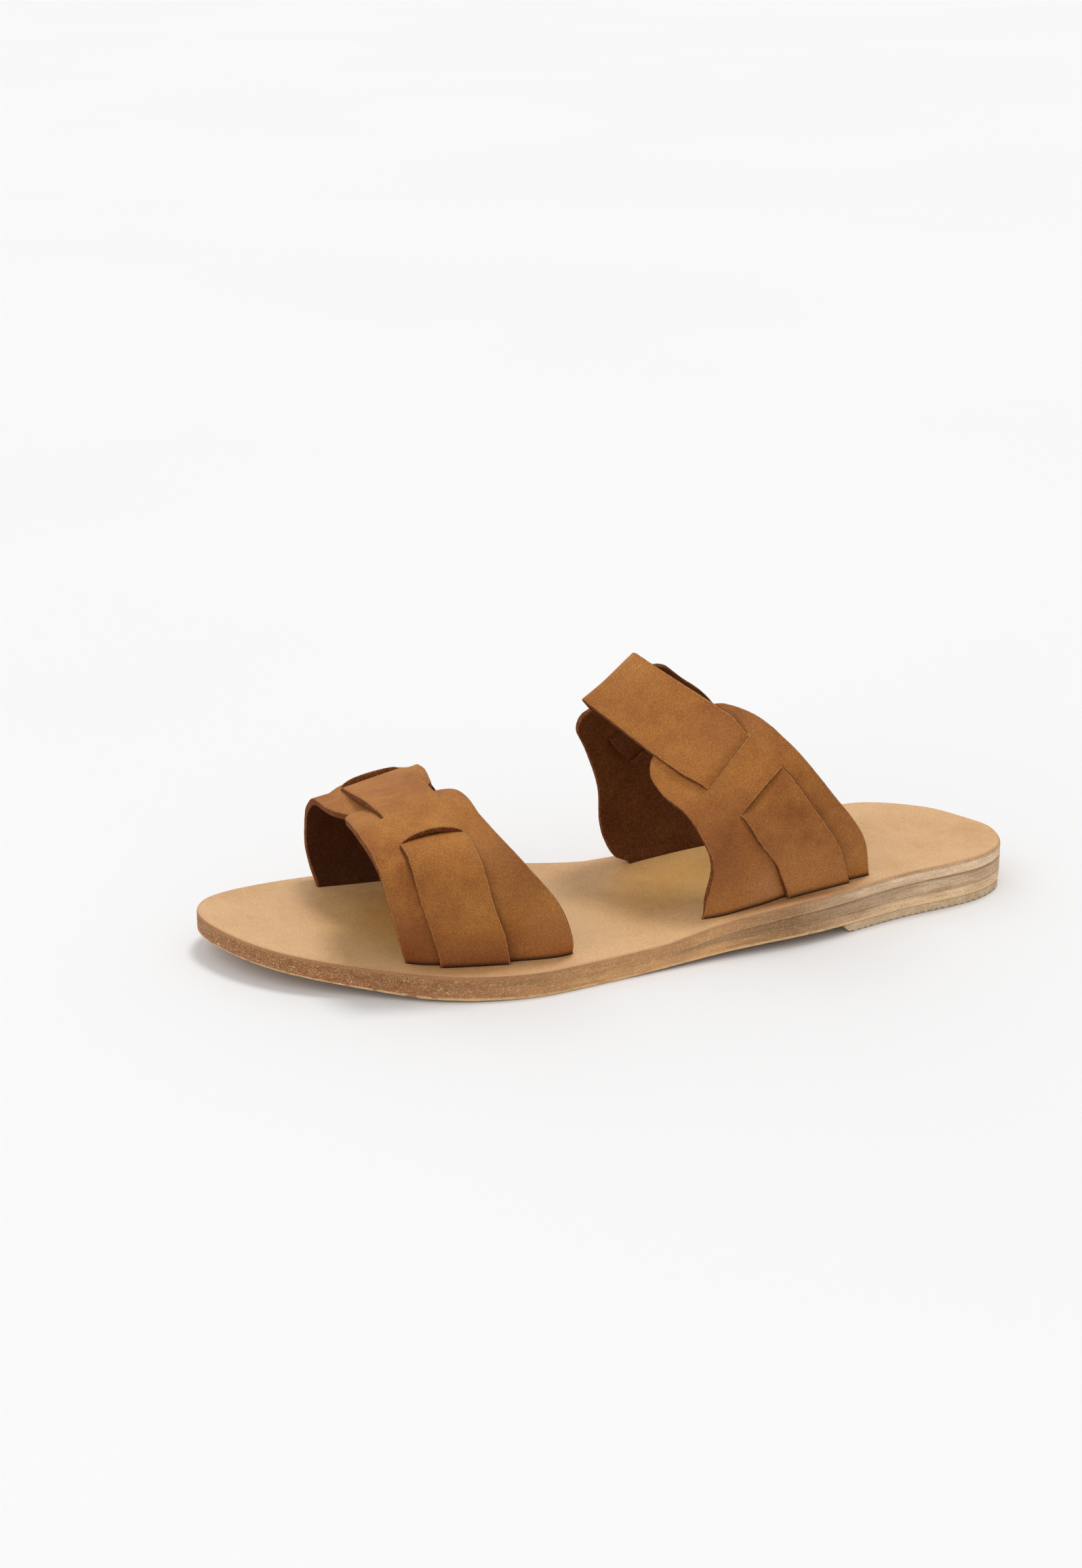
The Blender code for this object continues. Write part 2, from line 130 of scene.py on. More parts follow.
def merged(values: Sequence[float], least: float) -> list[float]:
    """Sorted values, the later of two dropped where they stand closer than least.

    Args:
        values: The values.
        least: Least distance between two that stay.

    Returns:
        The values that stay, rising.
    """
    kept: list[float] = []
    for value in sorted(values):
        if not kept or value - kept[-1] > least:
            kept.append(value)
    return kept


def ripple(point: Vector, scale: float, seed: float = 0.0) -> float:
    """Soft random height between about -1 and 1, with waves about scale wide."""
    return noise.noise(point / scale + Vector((seed, 2.0 * seed, -seed)))


class Wave(NamedTuple):
    """A soft random wave: its height, its width and the seed that sets it apart."""

    height: float
    width: float
    seed: float = 0.0


def waved(waves: Sequence[Wave], point: Vector) -> float:
    """Sum of some waves at a point."""
    return sum(wave.height * ripple(point, wave.width, wave.seed) for wave in waves)


# ---------------------------------------------------------------- meshes and objects

def placed(name: str, data: Any) -> bpy.types.Object:
    """New object that shows its data, linked to the scene.

    Args:
        name: Name of the object.
        data: Mesh, light or camera.

    Returns:
        The object, at the origin.
    """
    item = bpy.data.objects.new(name, data)
    bpy.context.scene.collection.objects.link(item)
    return item


def as_mesh(work: bmesh.types.BMesh, name: str) -> bpy.types.Mesh:
    """Mesh of some finished work, which is freed.

    Args:
        work: The shape.
        name: Name of the mesh.

    Returns:
        The mesh.
    """
    mesh = bpy.data.meshes.new(name)
    work.to_mesh(mesh)
    work.free()
    return mesh


def to_metres(work: bmesh.types.BMesh) -> None:
    """Scale work that was shaped in millimetres and turn its faces outwards."""
    bmesh.ops.scale(work, vec=(MM, MM, MM), verts=work.verts)
    bmesh.ops.recalc_face_normals(work, faces=work.faces)


def pulled_out(work: bmesh.types.BMesh, faces: Sequence[bmesh.types.BMFace]) \
        -> tuple[list[bmesh.types.BMFace], list[bmesh.types.BMVert]]:
    """Extrude faces and leave nothing behind inside the wall.

    Args:
        work: The mesh.
        faces: The region; a sheet that stands alone stays as the wall's first side.

    Returns:
        The faces and the points of the new side.
    """
    edges = dict.fromkeys(edge for face in faces for edge in face.edges)
    out = bmesh.ops.extrude_face_region(work, geom=list(faces) + list(edges))
    return ([g for g in out["geom"] if isinstance(g, bmesh.types.BMFace)],
            [g for g in out["geom"] if isinstance(g, bmesh.types.BMVert)])


# ---------------------------------------------------------------- shader desk

Colour = tuple[float, float, float]


def tint(red: int, green: int, blue: int) -> Colour:
    """Linear colour for the usual 0 to 255 numbers of a colour.

    Args:
        red: Red, 0 to 255.
        green: Green.
        blue: Blue.

    Returns:
        The linear colour.
    """
    def straight(value: int) -> float:
        """One channel without its display curve."""
        part = value / 255.0
        return part / 12.92 if part <= 0.04045 else ((part + 0.055) / 1.055) ** 2.4
    return straight(red), straight(green), straight(blue)


class Wire:
    """An output in a material, with the arithmetic that adds Math nodes."""

    def __init__(self, desk: "Desk", socket: bpy.types.NodeSocket) -> None:
        """Hold the socket and the desk that it lies on."""
        self.desk = desk
        self.socket = socket

    def _maths(self, operation: str, *parts: Any) -> "Wire":
        """Math node of one operation on values and wires."""
        return self.desk.node("ShaderNodeMath", {"operation": operation}, dict(enumerate(parts)))

    def __add__(self, other: Any) -> "Wire":
        """Sum."""
        return self._maths("ADD", self, other)

    def __sub__(self, other: Any) -> "Wire":
        """Difference."""
        return self._maths("SUBTRACT", self, other)

    def __rsub__(self, other: Any) -> "Wire":
        """Difference from a number."""
        return self._maths("SUBTRACT", other, self)

    def __mul__(self, other: Any) -> "Wire":
        """Product."""
        return self._maths("MULTIPLY", self, other)

    def __pow__(self, other: Any) -> "Wire":
        """Power."""
        return self._maths("POWER", self, other)

    __radd__ = __add__
    __rmul__ = __mul__

    def above(self, level: float, softness: float) -> "Wire":
        """0 well below the level, 1 well above it, smooth over the softness.

        Args:
            level: Middle of the step.
            softness: Width of the step.

        Returns:
            The step.
        """
        return self.desk.node("ShaderNodeMapRange", {"interpolation_type": "SMOOTHSTEP"},
                              {"Value": self, "From Min": level - softness / 2,
                               "From Max": level + softness / 2})

    def below(self, level: float, softness: float) -> "Wire":
        """1 well below the level, 0 well above it."""
        return 1.0 - self.above(level, softness)

    def near(self, level: float, reach: float) -> "Wire":
        """1 at the level, falling to 0 at reach from it."""
        return self._maths("ABSOLUTE", self - level).below(reach / 2, reach)


class Desk:
    """One material in the making, and the nodes laid out for it."""

    def __init__(self, name: str) -> None:
        """Start a material with only its shader and its output.

        Args:
            name: Name of the material.
        """
        self.material = bpy.data.materials.new(name)
        self.material.use_nodes = True
        self.tree = self.material.node_tree
        self.tree.nodes.clear()
        self.shader = self.tree.nodes.new("ShaderNodeBsdfPrincipled")
        output = self.tree.nodes.new("ShaderNodeOutputMaterial")
        self.tree.links.new(self.shader.outputs[0], output.inputs[0])
        self.where = self.node("ShaderNodeTexCoord", take="Object")

    def node(self, kind: str, settings: dict[str, Any] | None = None,
             values: dict[Any, Any] | None = None, take: Any = 0) -> Wire:
        """Add a node.

        Args:
            kind: The node's type.
            settings: Its own settings, set first; "stops" are a ramp's (place, colour).
            values: Values or wires for its sockets, by name or number.
            take: Name or number of the output to read.

        Returns:
            The wire from that output.
        """
        made = self.tree.nodes.new(kind)
        for name, value in (settings or {}).items():
            if name == "stops":
                self._set_stops(made.color_ramp, value)
            else:
                setattr(made, name, value)
        for name, value in (values or {}).items():
            self.plug(made.inputs[name], value)
        return Wire(self, made.outputs[take])

    def _set_stops(self, ramp: bpy.types.ColorRamp, stops: Sequence[tuple[float, Any]]) -> None:
        """Give a ramp its stops.

        Args:
            ramp: The ramp.
            stops: Places on it and their colours.
        """
        while len(ramp.elements) < len(stops):
            ramp.elements.new(0.5)
        for element, (place_on_ramp, colour) in zip(ramp.elements, stops):
            element.position = place_on_ramp
            element.color = (*colour, 1.0)

    def plug(self, socket: bpy.types.NodeSocket, value: Any) -> None:
        """Link a wire to a socket, or set the socket's own value.

        Args:
            socket: The socket.
            value: Wire, number, vector or colour.
        """
        if isinstance(value, Wire):
            self.tree.links.new(value.socket, socket)
        elif socket.type == "RGBA":
            socket.default_value = (*value, 1.0)
        else:
            socket.default_value = value

    def attribute(self, name: str) -> Wire:
        """Number stored on the piece's own points."""
        return self.node("ShaderNodeAttribute", {"attribute_name": name}, take="Fac")

    def axis(self, name: str) -> Wire:
        """Millimetres along an axis of the shared frame."""
        return self.node("ShaderNodeSeparateXYZ", {}, {0: self.where}, take=name) * (1.0 / MM)

    def shifted(self, seed: float, stretch: tuple[float, float, float] = (1.0, 1.0, 1.0)) -> Wire:
        """The place on the piece, stretched and moved by a seed that sets a pattern apart."""
        return self.node("ShaderNodeMapping", {}, {"Vector": self.where, "Location": (seed,) * 3,
                                                   "Scale": stretch})

    def grain(self, pitch: float, detail: float = 2.0, rough: float = 0.5, twist: float = 0.0,
              stretch: tuple[float, float, float] = (1.0, 1.0, 1.0), seed: float = 0.0) -> Wire:
        """Cloudy pattern from 0 to 1, its clouds about pitch millimetres wide.

        Args:
            pitch: Width of a cloud.
            detail: Number of finer layers.
            rough: Strength of those layers.
            twist: How far the clouds are curled.
            stretch: Below 1 along an axis, it draws them out that way.
            seed: Sets one pattern apart from another.

        Returns:
            The pattern.
        """
        moved = self.shifted(seed, stretch)
        return self.node("ShaderNodeTexNoise", {},
                         {"Vector": moved, "Scale": 1.0 / (pitch * MM), "Detail": detail,
                          "Roughness": rough, "Distortion": twist})

    def cells(self, pitch: float, warp: float = 0.0, seed: float = 0.0) -> Wire:
        """Distance within cells about pitch millimetres wide, their walls bent by warp.

        Args:
            pitch: Width of a cell.
            warp: How far its walls bend, as a share of the width.
            seed: Sets one pattern apart from another.

        Returns:
            Distance from the middle of a cell.
        """
        moved = self.shifted(seed)
        if warp:
            push = self.node("ShaderNodeTexNoise", {}, {"Vector": moved, "Scale": 1.0 / (pitch * MM)},
                             take="Color")
            bent = self.node("ShaderNodeVectorMath", {"operation": "SCALE"},
                             {0: push, "Scale": warp * pitch * MM})
            moved = self.node("ShaderNodeVectorMath", {"operation": "ADD"}, {0: moved, 1: bent})
        return self.node("ShaderNodeTexVoronoi", {}, {"Vector": moved, "Scale": 1.0 / (pitch * MM)},
                         take="Distance")

    def patch(self, middle: tuple[float, float, float], reach: tuple[float, float, float]) -> Wire:
        """1 at a place in the shared frame, falling to 0 at its reach, all in millimetres.

        Args:
            middle: Middle of the patch.
            reach: Its half sizes.

        Returns:
            The patch.
        """
        moved = self.node("ShaderNodeMapping", {"vector_type": "TEXTURE"},
                          {"Vector": self.where, "Location": [m * MM for m in middle],
                           "Scale": [r * MM for r in reach]})
        off = self.node("ShaderNodeVectorMath", {"operation": "LENGTH"}, {0: moved}, take="Value")
        return off.below(0.5, 1.0)

    def ramp(self, share: Wire, *stops: tuple[float, Colour]) -> Wire:
        """Colour along a ramp."""
        return self.node("ShaderNodeValToRGB", {"stops": stops}, {0: share})

    def mix(self, share: Any, first: Any, second: Any, blend: str = "MIX") -> Wire:
        """Two colours mixed: first at 0, second at 1."""
        return self.node("ShaderNodeMix", {"data_type": "RGBA", "blend_type": blend},
                         {0: share, 6: first, 7: second}, take=2)

    def shaded(self, colour: Wire, factor: Wire) -> Wire:
        """A colour made lighter or darker by a factor."""
        return self.node("ShaderNodeVectorMath", {"operation": "SCALE"}, {0: colour, "Scale": factor})

    def relief(self, height: Wire, depth: float, strength: float = 1.0,
               under: Wire | None = None) -> Wire:
        """Bump whose full height is depth millimetres, laid over another one if given.

        Args:
            height: Height, from 0 to 1.
            depth: Millimetres between the two.
            strength: Strength of the bump.
            under: Bump that lies under it.

        Returns:
            The normal.
        """
        values = {"Height": height, "Distance": depth * MM, "Strength": strength}
        if under is not None:
            values["Normal"] = under
        return self.node("ShaderNodeBump", {}, values)

    def dress(self, **sockets: Any) -> bpy.types.Material:
        """Set the shader's sockets, underscores standing for spaces, and give the material.

        Args:
            sockets: Values or wires by the name of their socket.

        Returns:
            The material.
        """
        for name, value in sockets.items():
            self.plug(self.shader.inputs[name.replace("_", " ")], value)
        return self.material


# ---------------------------------------------------------------- finishes

class Mark(Enum):
    """Numbers that the pieces carry on their points for the finishes."""

    DEPTH = "depth_in_wall"         # 0 on the grain side, 1 on the flesh side
    FROM_EDGE = "from_cut_edge"     # millimetres from the nearest cut edge
    ABOVE_SOLE = "above_footbed"    # millimetres above the footbed
    LEVEL = "level_in_layer"        # 0 at the foot of a sole layer, 1 at its top
    AT_RIM = "at_rim"               # 1 at a sole layer's outline, 0 well inside it
    RUBBED = "rubbed"               # 1 where the grain is rubbed glossy
    SHARE = "share_across"          # 0 at a hide's front edge, 1 at its rear edge


@dataclass(frozen=True)
class LightAndTonePatch:
    """A soft patch of another tone, for the surface's own tone and for painted light and shade:
    its middle and reach in the shared frame, in millimetres.
    """

    middle: tuple[float, float, float]
    reach: tuple[float, float, float]
    colour: Colour
    share: float
    blend: str = "MIX"

    def over(self, desk: Desk, base: Wire) -> Wire:
        """The base with this patch laid over it."""
        return desk.mix(desk.patch(self.middle, self.reach) * self.share, base, self.colour, self.blend)


@dataclass(frozen=True)
class NubuckGrain:
    """Grain side of the waxed tan leather, lightly buffed."""

    light: Colour = tint(178, 120, 54)
    tan: Colour = tint(161, 102, 43)
    red: Colour = tint(136, 76, 31)
    # painted contact shadow where the band meets the footbed
    contact_shade: Colour = tint(46, 20, 8)
    waxed: Colour = tint(196, 142, 82)
    shade_towards_sole: float = 0.9        # how far painted shade darkens it towards the sole
    # soft patches: the leather's own tone, painted highlights and painted shade
    tone_and_light_patches: tuple[LightAndTonePatch, ...] = ()

    def material(self, name: str) -> bpy.types.Material:
        """Tan with fine light specks that are partly painted highlights, waxed along its edges,
        with painted shade towards the sole and a painted contact shadow at its foot.

        Args:
            name: Name of the material.

        Returns:
            The finished material.
        """
        desk = Desk(name)
        clouds = desk.grain(26.0, 2.0, 0.5)
        patches = desk.grain(5.0, 3.0, 0.55, seed=3.1)
        pebble = 1.0 - desk.cells(0.46, warp=0.9, seed=7.7)
        fine = desk.grain(0.34, 2.0, 0.6, twist=0.3, seed=7.7)
        mottle = desk.grain(1.1, 2.0, 0.5, seed=5.5)
        base = desk.ramp(clouds * 0.65 + patches * 0.35, (0.26, self.red), (0.5, self.tan),
                         (0.74, self.light))
        above = desk.attribute(Mark.ABOVE_SOLE.value)
        # Painted shade: darker and redder towards the sole.
        base = desk.mix(above.below(9.0, 22.0) * (0.5 + patches * 0.2) * self.shade_towards_sole, base, self.red)
        # Patches of the leather's own tone, painted highlights and painted shade.
        for painted_patch in self.tone_and_light_patches:
            base = painted_patch.over(desk, base)
        # Painted contact shadow: near-black within about a millimetre of the footbed.
        base = desk.mix(above.below(1.1, 2.2) ** 1.5, base, self.contact_shade)
        edge = desk.attribute(Mark.FROM_EDGE.value)
        base = desk.mix(edge.below(0.9, 1.6) * 0.3, base, self.red)
        rearward = desk.attribute(Mark.SHARE.value).above(0.5, 0.3)
        worn = edge.below(0.36, 0.24) * (0.35 + rearward * 0.5) * mottle.above(0.42, 0.3)
        base = desk.mix(worn, base, self.waxed)
        # Fine specks: partly the grain's own tone, partly painted highlights on the raised pebble tops.
        base = desk.shaded(base, 0.91 + pebble.above(0.5, 0.5) * fine.above(0.44, 0.4) * 0.36
                           + (fine - 0.5) * 1.0 + (mottle - 0.5) * 0.2)
        bump = desk.relief(pebble + fine * 0.6, 0.1, 0.7)
        bump = desk.relief(patches, 0.2, 0.25, under=bump)
        rubbed = desk.attribute(Mark.RUBBED.value)
        return desk.dress(Base_Color=base, Roughness=0.60 + pebble * 0.2 - rubbed * 0.3, Normal=bump,
                          Coat_Weight=rubbed * 0.25, Coat_Roughness=0.3,
                          Specular_IOR_Level=0.26, Sheen_Weight=0.05, Sheen_Roughness=0.5,
                          Sheen_Tint=tint(225, 160, 90))


@dataclass(frozen=True)
class FleshSide:
    """Suede on the inner face of the bands."""

    dark: Colour = tint(56, 27, 10)
    mid: Colour = tint(92, 49, 21)
    light: Colour = tint(126, 76, 38)

    def material(self, name: str) -> bpy.types.Material:
        """Dark napped suede with short tangled fibres.

        Args:
            name: Name of the material.

        Returns:
            The finished material.
        """
        desk = Desk(name)
        nap = desk.grain(0.42, 3.0, 0.7, twist=1.2)
        tufts = desk.grain(1.6, 3.0, 0.6, twist=0.6, seed=5.0)
        base = desk.ramp(nap * 0.75 + tufts * 0.15 + desk.grain(9.0) * 0.1,
                         (0.36, self.dark), (0.5, self.mid), (0.66, self.light))
        bump = desk.relief(nap * 0.7 + tufts * 0.3, 0.3, 0.8)
        return desk.dress(Base_Color=base, Roughness=0.92 + nap * 0.06, Normal=bump,
                          Specular_IOR_Level=0.12, Sheen_Weight=0.12, Sheen_Roughness=0.7,
                          Sheen_Tint=tint(150, 95, 55))


# Patches partly of the leather's own tone, partly painted highlights and painted shade.
FRONT_GRAIN = NubuckGrain(shade_towards_sole=0.8, tone_and_light_patches=(
    LightAndTonePatch((34.0, -84.0, 12.0), (26.0, 26.0, 24.0), tint(106, 44, 20), 0.75),
    LightAndTonePatch((40.0, -60.0, 8.0), (14.0, 26.0, 16.0), tint(112, 54, 26), 0.6),
    LightAndTonePatch((38.0, -36.0, 16.0), (16.0, 18.0, 20.0), tint(158, 100, 54), 0.6),
    LightAndTonePatch((34.0, -44.0, 38.0), (20.0, 22.0, 16.0), tint(126, 72, 35), 0.7),
    LightAndTonePatch((-34.0, -50.0, 46.0), (26.0, 22.0, 24.0), tint(182, 128, 72), 0.65)))
# Patches partly of the leather's own tone, partly painted highlights and painted shade.
INSTEP_GRAIN = NubuckGrain(shade_towards_sole=0.0, tone_and_light_patches=(
    LightAndTonePatch((36.0, 40.0, 18.0), (20.0, 60.0, 20.0), tint(174, 114, 60), 0.7),
    LightAndTonePatch((34.0, 18.0, 36.0), (22.0, 28.0, 28.0), tint(130, 72, 33), 0.65),
    LightAndTonePatch((14.0, 34.0, 62.0), (20.0, 26.0, 16.0), tint(138, 82, 38), 0.6),
    LightAndTonePatch((-16.0, 6.0, 84.0), (26.0, 22.0, 22.0), tint(180, 122, 64), 0.7)))
FRONT_FLESH = FleshSide(dark=tint(40, 18, 6), mid=tint(66, 32, 13), light=tint(98, 54, 26))


@dataclass(frozen=True)
class CutEdge:
    """Raw cut edge of the band leather, with the waxed line along its grain side."""

    core: Colour = tint(70, 32, 13)
    fibre: Colour = tint(116, 62, 26)
    pale: Colour = tint(172, 110, 58)
    waxed: Colour = tint(198, 142, 78)

    def material(self, name: str) -> bpy.types.Material:
        """Dark fibrous edge with an ochre line at the outer arris.

        Args:
            name: Name of the material.

        Returns:
            The finished material.
        """
        desk = Desk(name)
        fibres = desk.grain(0.4, 4.0, 0.7, twist=1.5)
        clumps = desk.grain(1.8, 2.0, 0.5, seed=2.0)
        base = desk.ramp(fibres * 0.85 + clumps * 0.15, (0.38, self.core), (0.52, self.fibre),
                         (0.62, self.pale))
        depth = desk.attribute(Mark.DEPTH.value)
        line = depth.below(0.07, 0.08) * (0.2 + clumps.above(0.5, 0.4) * 0.35)
        base = desk.mix(line, base, self.waxed)
        bump = desk.relief(fibres, 0.3, 0.9)
        return desk.dress(Base_Color=base, Roughness=0.85 + fibres * 0.1, Normal=bump,
                          Specular_IOR_Level=0.2)


@dataclass(frozen=True)
class FootbedSkin:
    """Smooth natural leather that the foot stands on."""

    pale: Colour = tint(219, 176, 127)
    warm: Colour = tint(211, 166, 116)
    shade: Colour = tint(200, 153, 103)
    rim: Colour = tint(180, 130, 86)
    # Painted shade: a yellow-olive cast under the front band and under the instep band, and painted
    # contact shadows along the outer feet of both bands.
    tone_and_light_patches: tuple[LightAndTonePatch, ...] = (
        LightAndTonePatch((2.0, -62.0, 8.0), (50.0, 44.0, 60.0), tint(224, 196, 112), 0.95, "MULTIPLY"),
        LightAndTonePatch((2.0, 26.0, 10.0), (40.0, 60.0, 60.0), tint(236, 222, 172), 0.95, "MULTIPLY"),
        LightAndTonePatch((36.0, 44.0, 13.0), (4.5, 38.0, 6.0), tint(176, 146, 112), 0.85, "MULTIPLY"),
        LightAndTonePatch((34.5, -54.0, 8.0), (4.0, 26.0, 6.0), tint(200, 172, 140), 0.8, "MULTIPLY"))

    def material(self, name: str) -> bpy.types.Material:
        """Pale leather with faint clouds and fine pores, with painted shade under the bands and
        along their feet.

        Args:
            name: Name of the material.

        Returns:
            The finished material.
        """
        desk = Desk(name)
        clouds = desk.grain(30.0, 3.0, 0.5)
        patches = desk.grain(3.0, 3.0, 0.6, seed=4.0)
        fine = desk.grain(0.5, 2.0, 0.5, seed=9.0)
        base = desk.ramp(clouds * 0.7 + patches * 0.3, (0.34, self.shade),
                         (0.48, self.warm), (0.64, self.pale))
        base = desk.shaded(base, 1.0 + (fine - 0.5) * 0.7)
        pores = desk.cells(0.7, warp=0.5)
        base = desk.mix(pores.below(0.16, 0.12) * 0.22, base, self.shade)
        # Painted shade under the bands and along their feet.
        for painted_patch in self.tone_and_light_patches:
            base = painted_patch.over(desk, base)
        base = desk.mix(desk.attribute(Mark.AT_RIM.value).above(0.5, 0.8) * 0.6, base, self.rim)
        bump = desk.relief(fine * 0.6 + pores * 0.4, 0.05, 0.5)
        return desk.dress(Base_Color=base, Roughness=0.46 + patches * 0.18, Normal=bump,
                          Specular_IOR_Level=0.4, Coat_Weight=0.04, Coat_Roughness=0.35)


@dataclass(frozen=True)
class SoleEdge:
    """Sanded and burnished edge of a sole layer, flecked with light fibres.

    toe, waist, arch and heel are its ground colours along the sole, partly its own tone and
    partly painted light, lightest at the heel; smooth the share of its height at the top that
    is burnished free of flecks, ragged the share at its foot where the fibres stand open,
    and seam the strength of the light line at its foot.
    """

    toe: Colour = tint(142, 78, 38)
    waist: Colour = tint(218, 162, 108)
    arch: Colour = tint(160, 116, 76)
    heel: Colour = tint(240, 204, 164)
    polished: Colour = tint(184, 138, 94)
    fleck: Colour = tint(246, 206, 150)
    dark: Colour = tint(104, 66, 40)
    smooth: float = 0.0
    ragged: float = 0.0
    seam: float = 0.0
    fleck_share: float = 0.9

    def material(self, name: str) -> bpy.types.Material:
        """Brown edge with curled light fibres, layered by height.

        Args:
            name: Name of the material.

        Returns:
            The finished material.
        """
        desk = Desk(name)
        level = desk.attribute(Mark.LEVEL.value)
        drift = desk.grain(9.0, 2.0, 0.5, stretch=(1.0, 1.0, 3.0))
        # Ground colour along the sole: partly the leather's own tone, partly painted light, lightest at
        # the heel.
        base = desk.ramp(desk.axis("Y").above(0.0, 250.0), (0.08, self.toe), (0.37, self.waist),
                         (0.58, self.waist), (0.74, self.arch), (0.94, self.heel))
        base = desk.mix((drift - 0.5).above(0.0, 0.3) * 0.25, base, self.dark)
        heelward = desk.axis("Y").above(0.0, 200.0)
        curls = desk.grain(0.9, 1.0, 0.5, twist=2.2, stretch=(0.6, 0.6, 1.0), seed=1.5)
        frizz = desk.grain(0.42, 1.0, 0.5, twist=1.0, seed=3.5)
        thread = (curls - 0.5).near(0.0, 0.035) + (frizz - 0.5).near(0.0, 0.05) * 0.6
        clumps = desk.grain(1.8, 2.0, 0.5, stretch=(0.5, 0.5, 1.0), seed=6.0)
        streaks = desk.grain(0.8, 2.0, 0.6, stretch=(0.04, 0.04, 1.0), seed=4.5)
        open_grain = thread * clumps.above(0.34, 0.34) * (0.95 - heelward * 0.45)
        pits = streaks.below(0.42, 0.16) * clumps.above(0.4, 0.3) * (0.25 + heelward * 0.4)
        dust = desk.grain(0.32, 2.0, 0.6, seed=2.5)
        base = desk.mix(level.above(0.86, 0.36) * heelward * 0.55, base, self.dark)
        if self.smooth:
            burnished = level.above(1.0 - self.smooth, 0.10)
            open_grain = open_grain * (1.0 - burnished * 0.9)
            base = desk.mix(burnished * 0.5, base, self.polished)
        if self.ragged:
            open_grain = open_grain + level.below(self.ragged, 0.16) * clumps.above(0.4, 0.3) * 0.7
            open_grain = open_grain + level.below(0.07, 0.06) * 0.6
        if self.seam:
            line = level.below(0.07, 0.09) * clumps.above(0.36, 0.3)
            open_grain = open_grain + line * (0.25 + heelward * 0.75) * self.seam
        base = desk.shaded(base, 1.0 + (dust - 0.5) * 1.7 + (streaks - 0.5) * (0.3 + heelward * 0.1))
        base = desk.mix(pits * 0.5, base, self.dark)
        base = desk.mix(open_grain * self.fleck_share, base, self.fleck)
        bump = desk.relief(dust + open_grain * 0.5, 0.12, 0.7)
        return desk.dress(Base_Color=base, Roughness=0.62 + open_grain * 0.25, Normal=bump,
                          Specular_IOR_Level=0.3)


@dataclass(frozen=True)
class RawUnderside:
    """Underside of the outsole: rough natural leather."""

    pale: Colour = tint(196, 152, 106)
    dark: Colour = tint(150, 106, 68)

    def material(self, name: str) -> bpy.types.Material:
        """Blotchy, fibrous leather.

        Args:
            name: Name of the material.

        Returns:
            The finished material.
        """
        desk = Desk(name)
        clouds = desk.grain(12.0, 4.0, 0.6)
        fibres = desk.grain(0.8, 4.0, 0.7, twist=1.5)
        base = desk.ramp(clouds * 0.5 + fibres * 0.5, (0.36, self.dark), (0.64, self.pale))
        return desk.dress(Base_Color=base, Roughness=0.8 + fibres * 0.15,
                          Normal=desk.relief(fibres, 0.2, 0.7), Specular_IOR_Level=0.25)


@dataclass(frozen=True)
class CrepeRubber:
    """Khaki rubber of the heel pad."""

    pale: Colour = tint(224, 197, 160)
    dark: Colour = tint(188, 160, 126)

    def material(self, name: str) -> bpy.types.Material:
        """Matt rubber with small pits and dust.

        Args:
            name: Name of the material.

        Returns:
            The finished material.
        """
        desk = Desk(name)
        clouds = desk.grain(4.0, 3.0, 0.6)
        crumbs = desk.grain(0.6, 3.0, 0.6, twist=0.8, seed=8.0)
        base = desk.ramp(clouds * 0.4 + crumbs * 0.6, (0.36, self.dark), (0.6, self.pale))
        pits = desk.cells(0.9, warp=0.4).below(0.2, 0.12)
        base = desk.mix(pits * 0.5, base, self.dark)
        return desk.dress(Base_Color=base, Roughness=0.78 + crumbs * 0.12,
                          Normal=desk.relief(crumbs - pits, 0.15, 0.7), Specular_IOR_Level=0.3)


# ---------------------------------------------------------------- pieces

@dataclass
class Bench:
    """Turns a finished bmesh into a piece of the sandal."""

    sharp_angle: float = 50.0       # edges that turn further are shaded hard

    def piece(self, work: bmesh.types.BMesh, name: str, node: str, slot: str,
              looks: Sequence[bpy.types.Material]) -> bpy.types.Object:
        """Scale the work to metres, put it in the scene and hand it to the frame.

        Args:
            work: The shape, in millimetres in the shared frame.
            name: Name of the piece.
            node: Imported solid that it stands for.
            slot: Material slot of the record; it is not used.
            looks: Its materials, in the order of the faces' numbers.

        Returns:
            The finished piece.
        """
        to_metres(work)
        for face in work.faces:
            face.smooth = True
        mesh = as_mesh(work, name)
        mesh.set_sharp_from_angle(angle=math.radians(self.sharp_angle))
        for look in looks:
            mesh.materials.append(look)
        item = placed(name, mesh)
        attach(item, BODY)
        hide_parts(node)
        log.info("%s: %d faces, stands for %s", name, len(mesh.polygons), node)
        return item


# ---------------------------------------------------------------- sole

class PlanPoint(NamedTuple):
    """A point on the outline of the sole."""

    along: float
    across: float


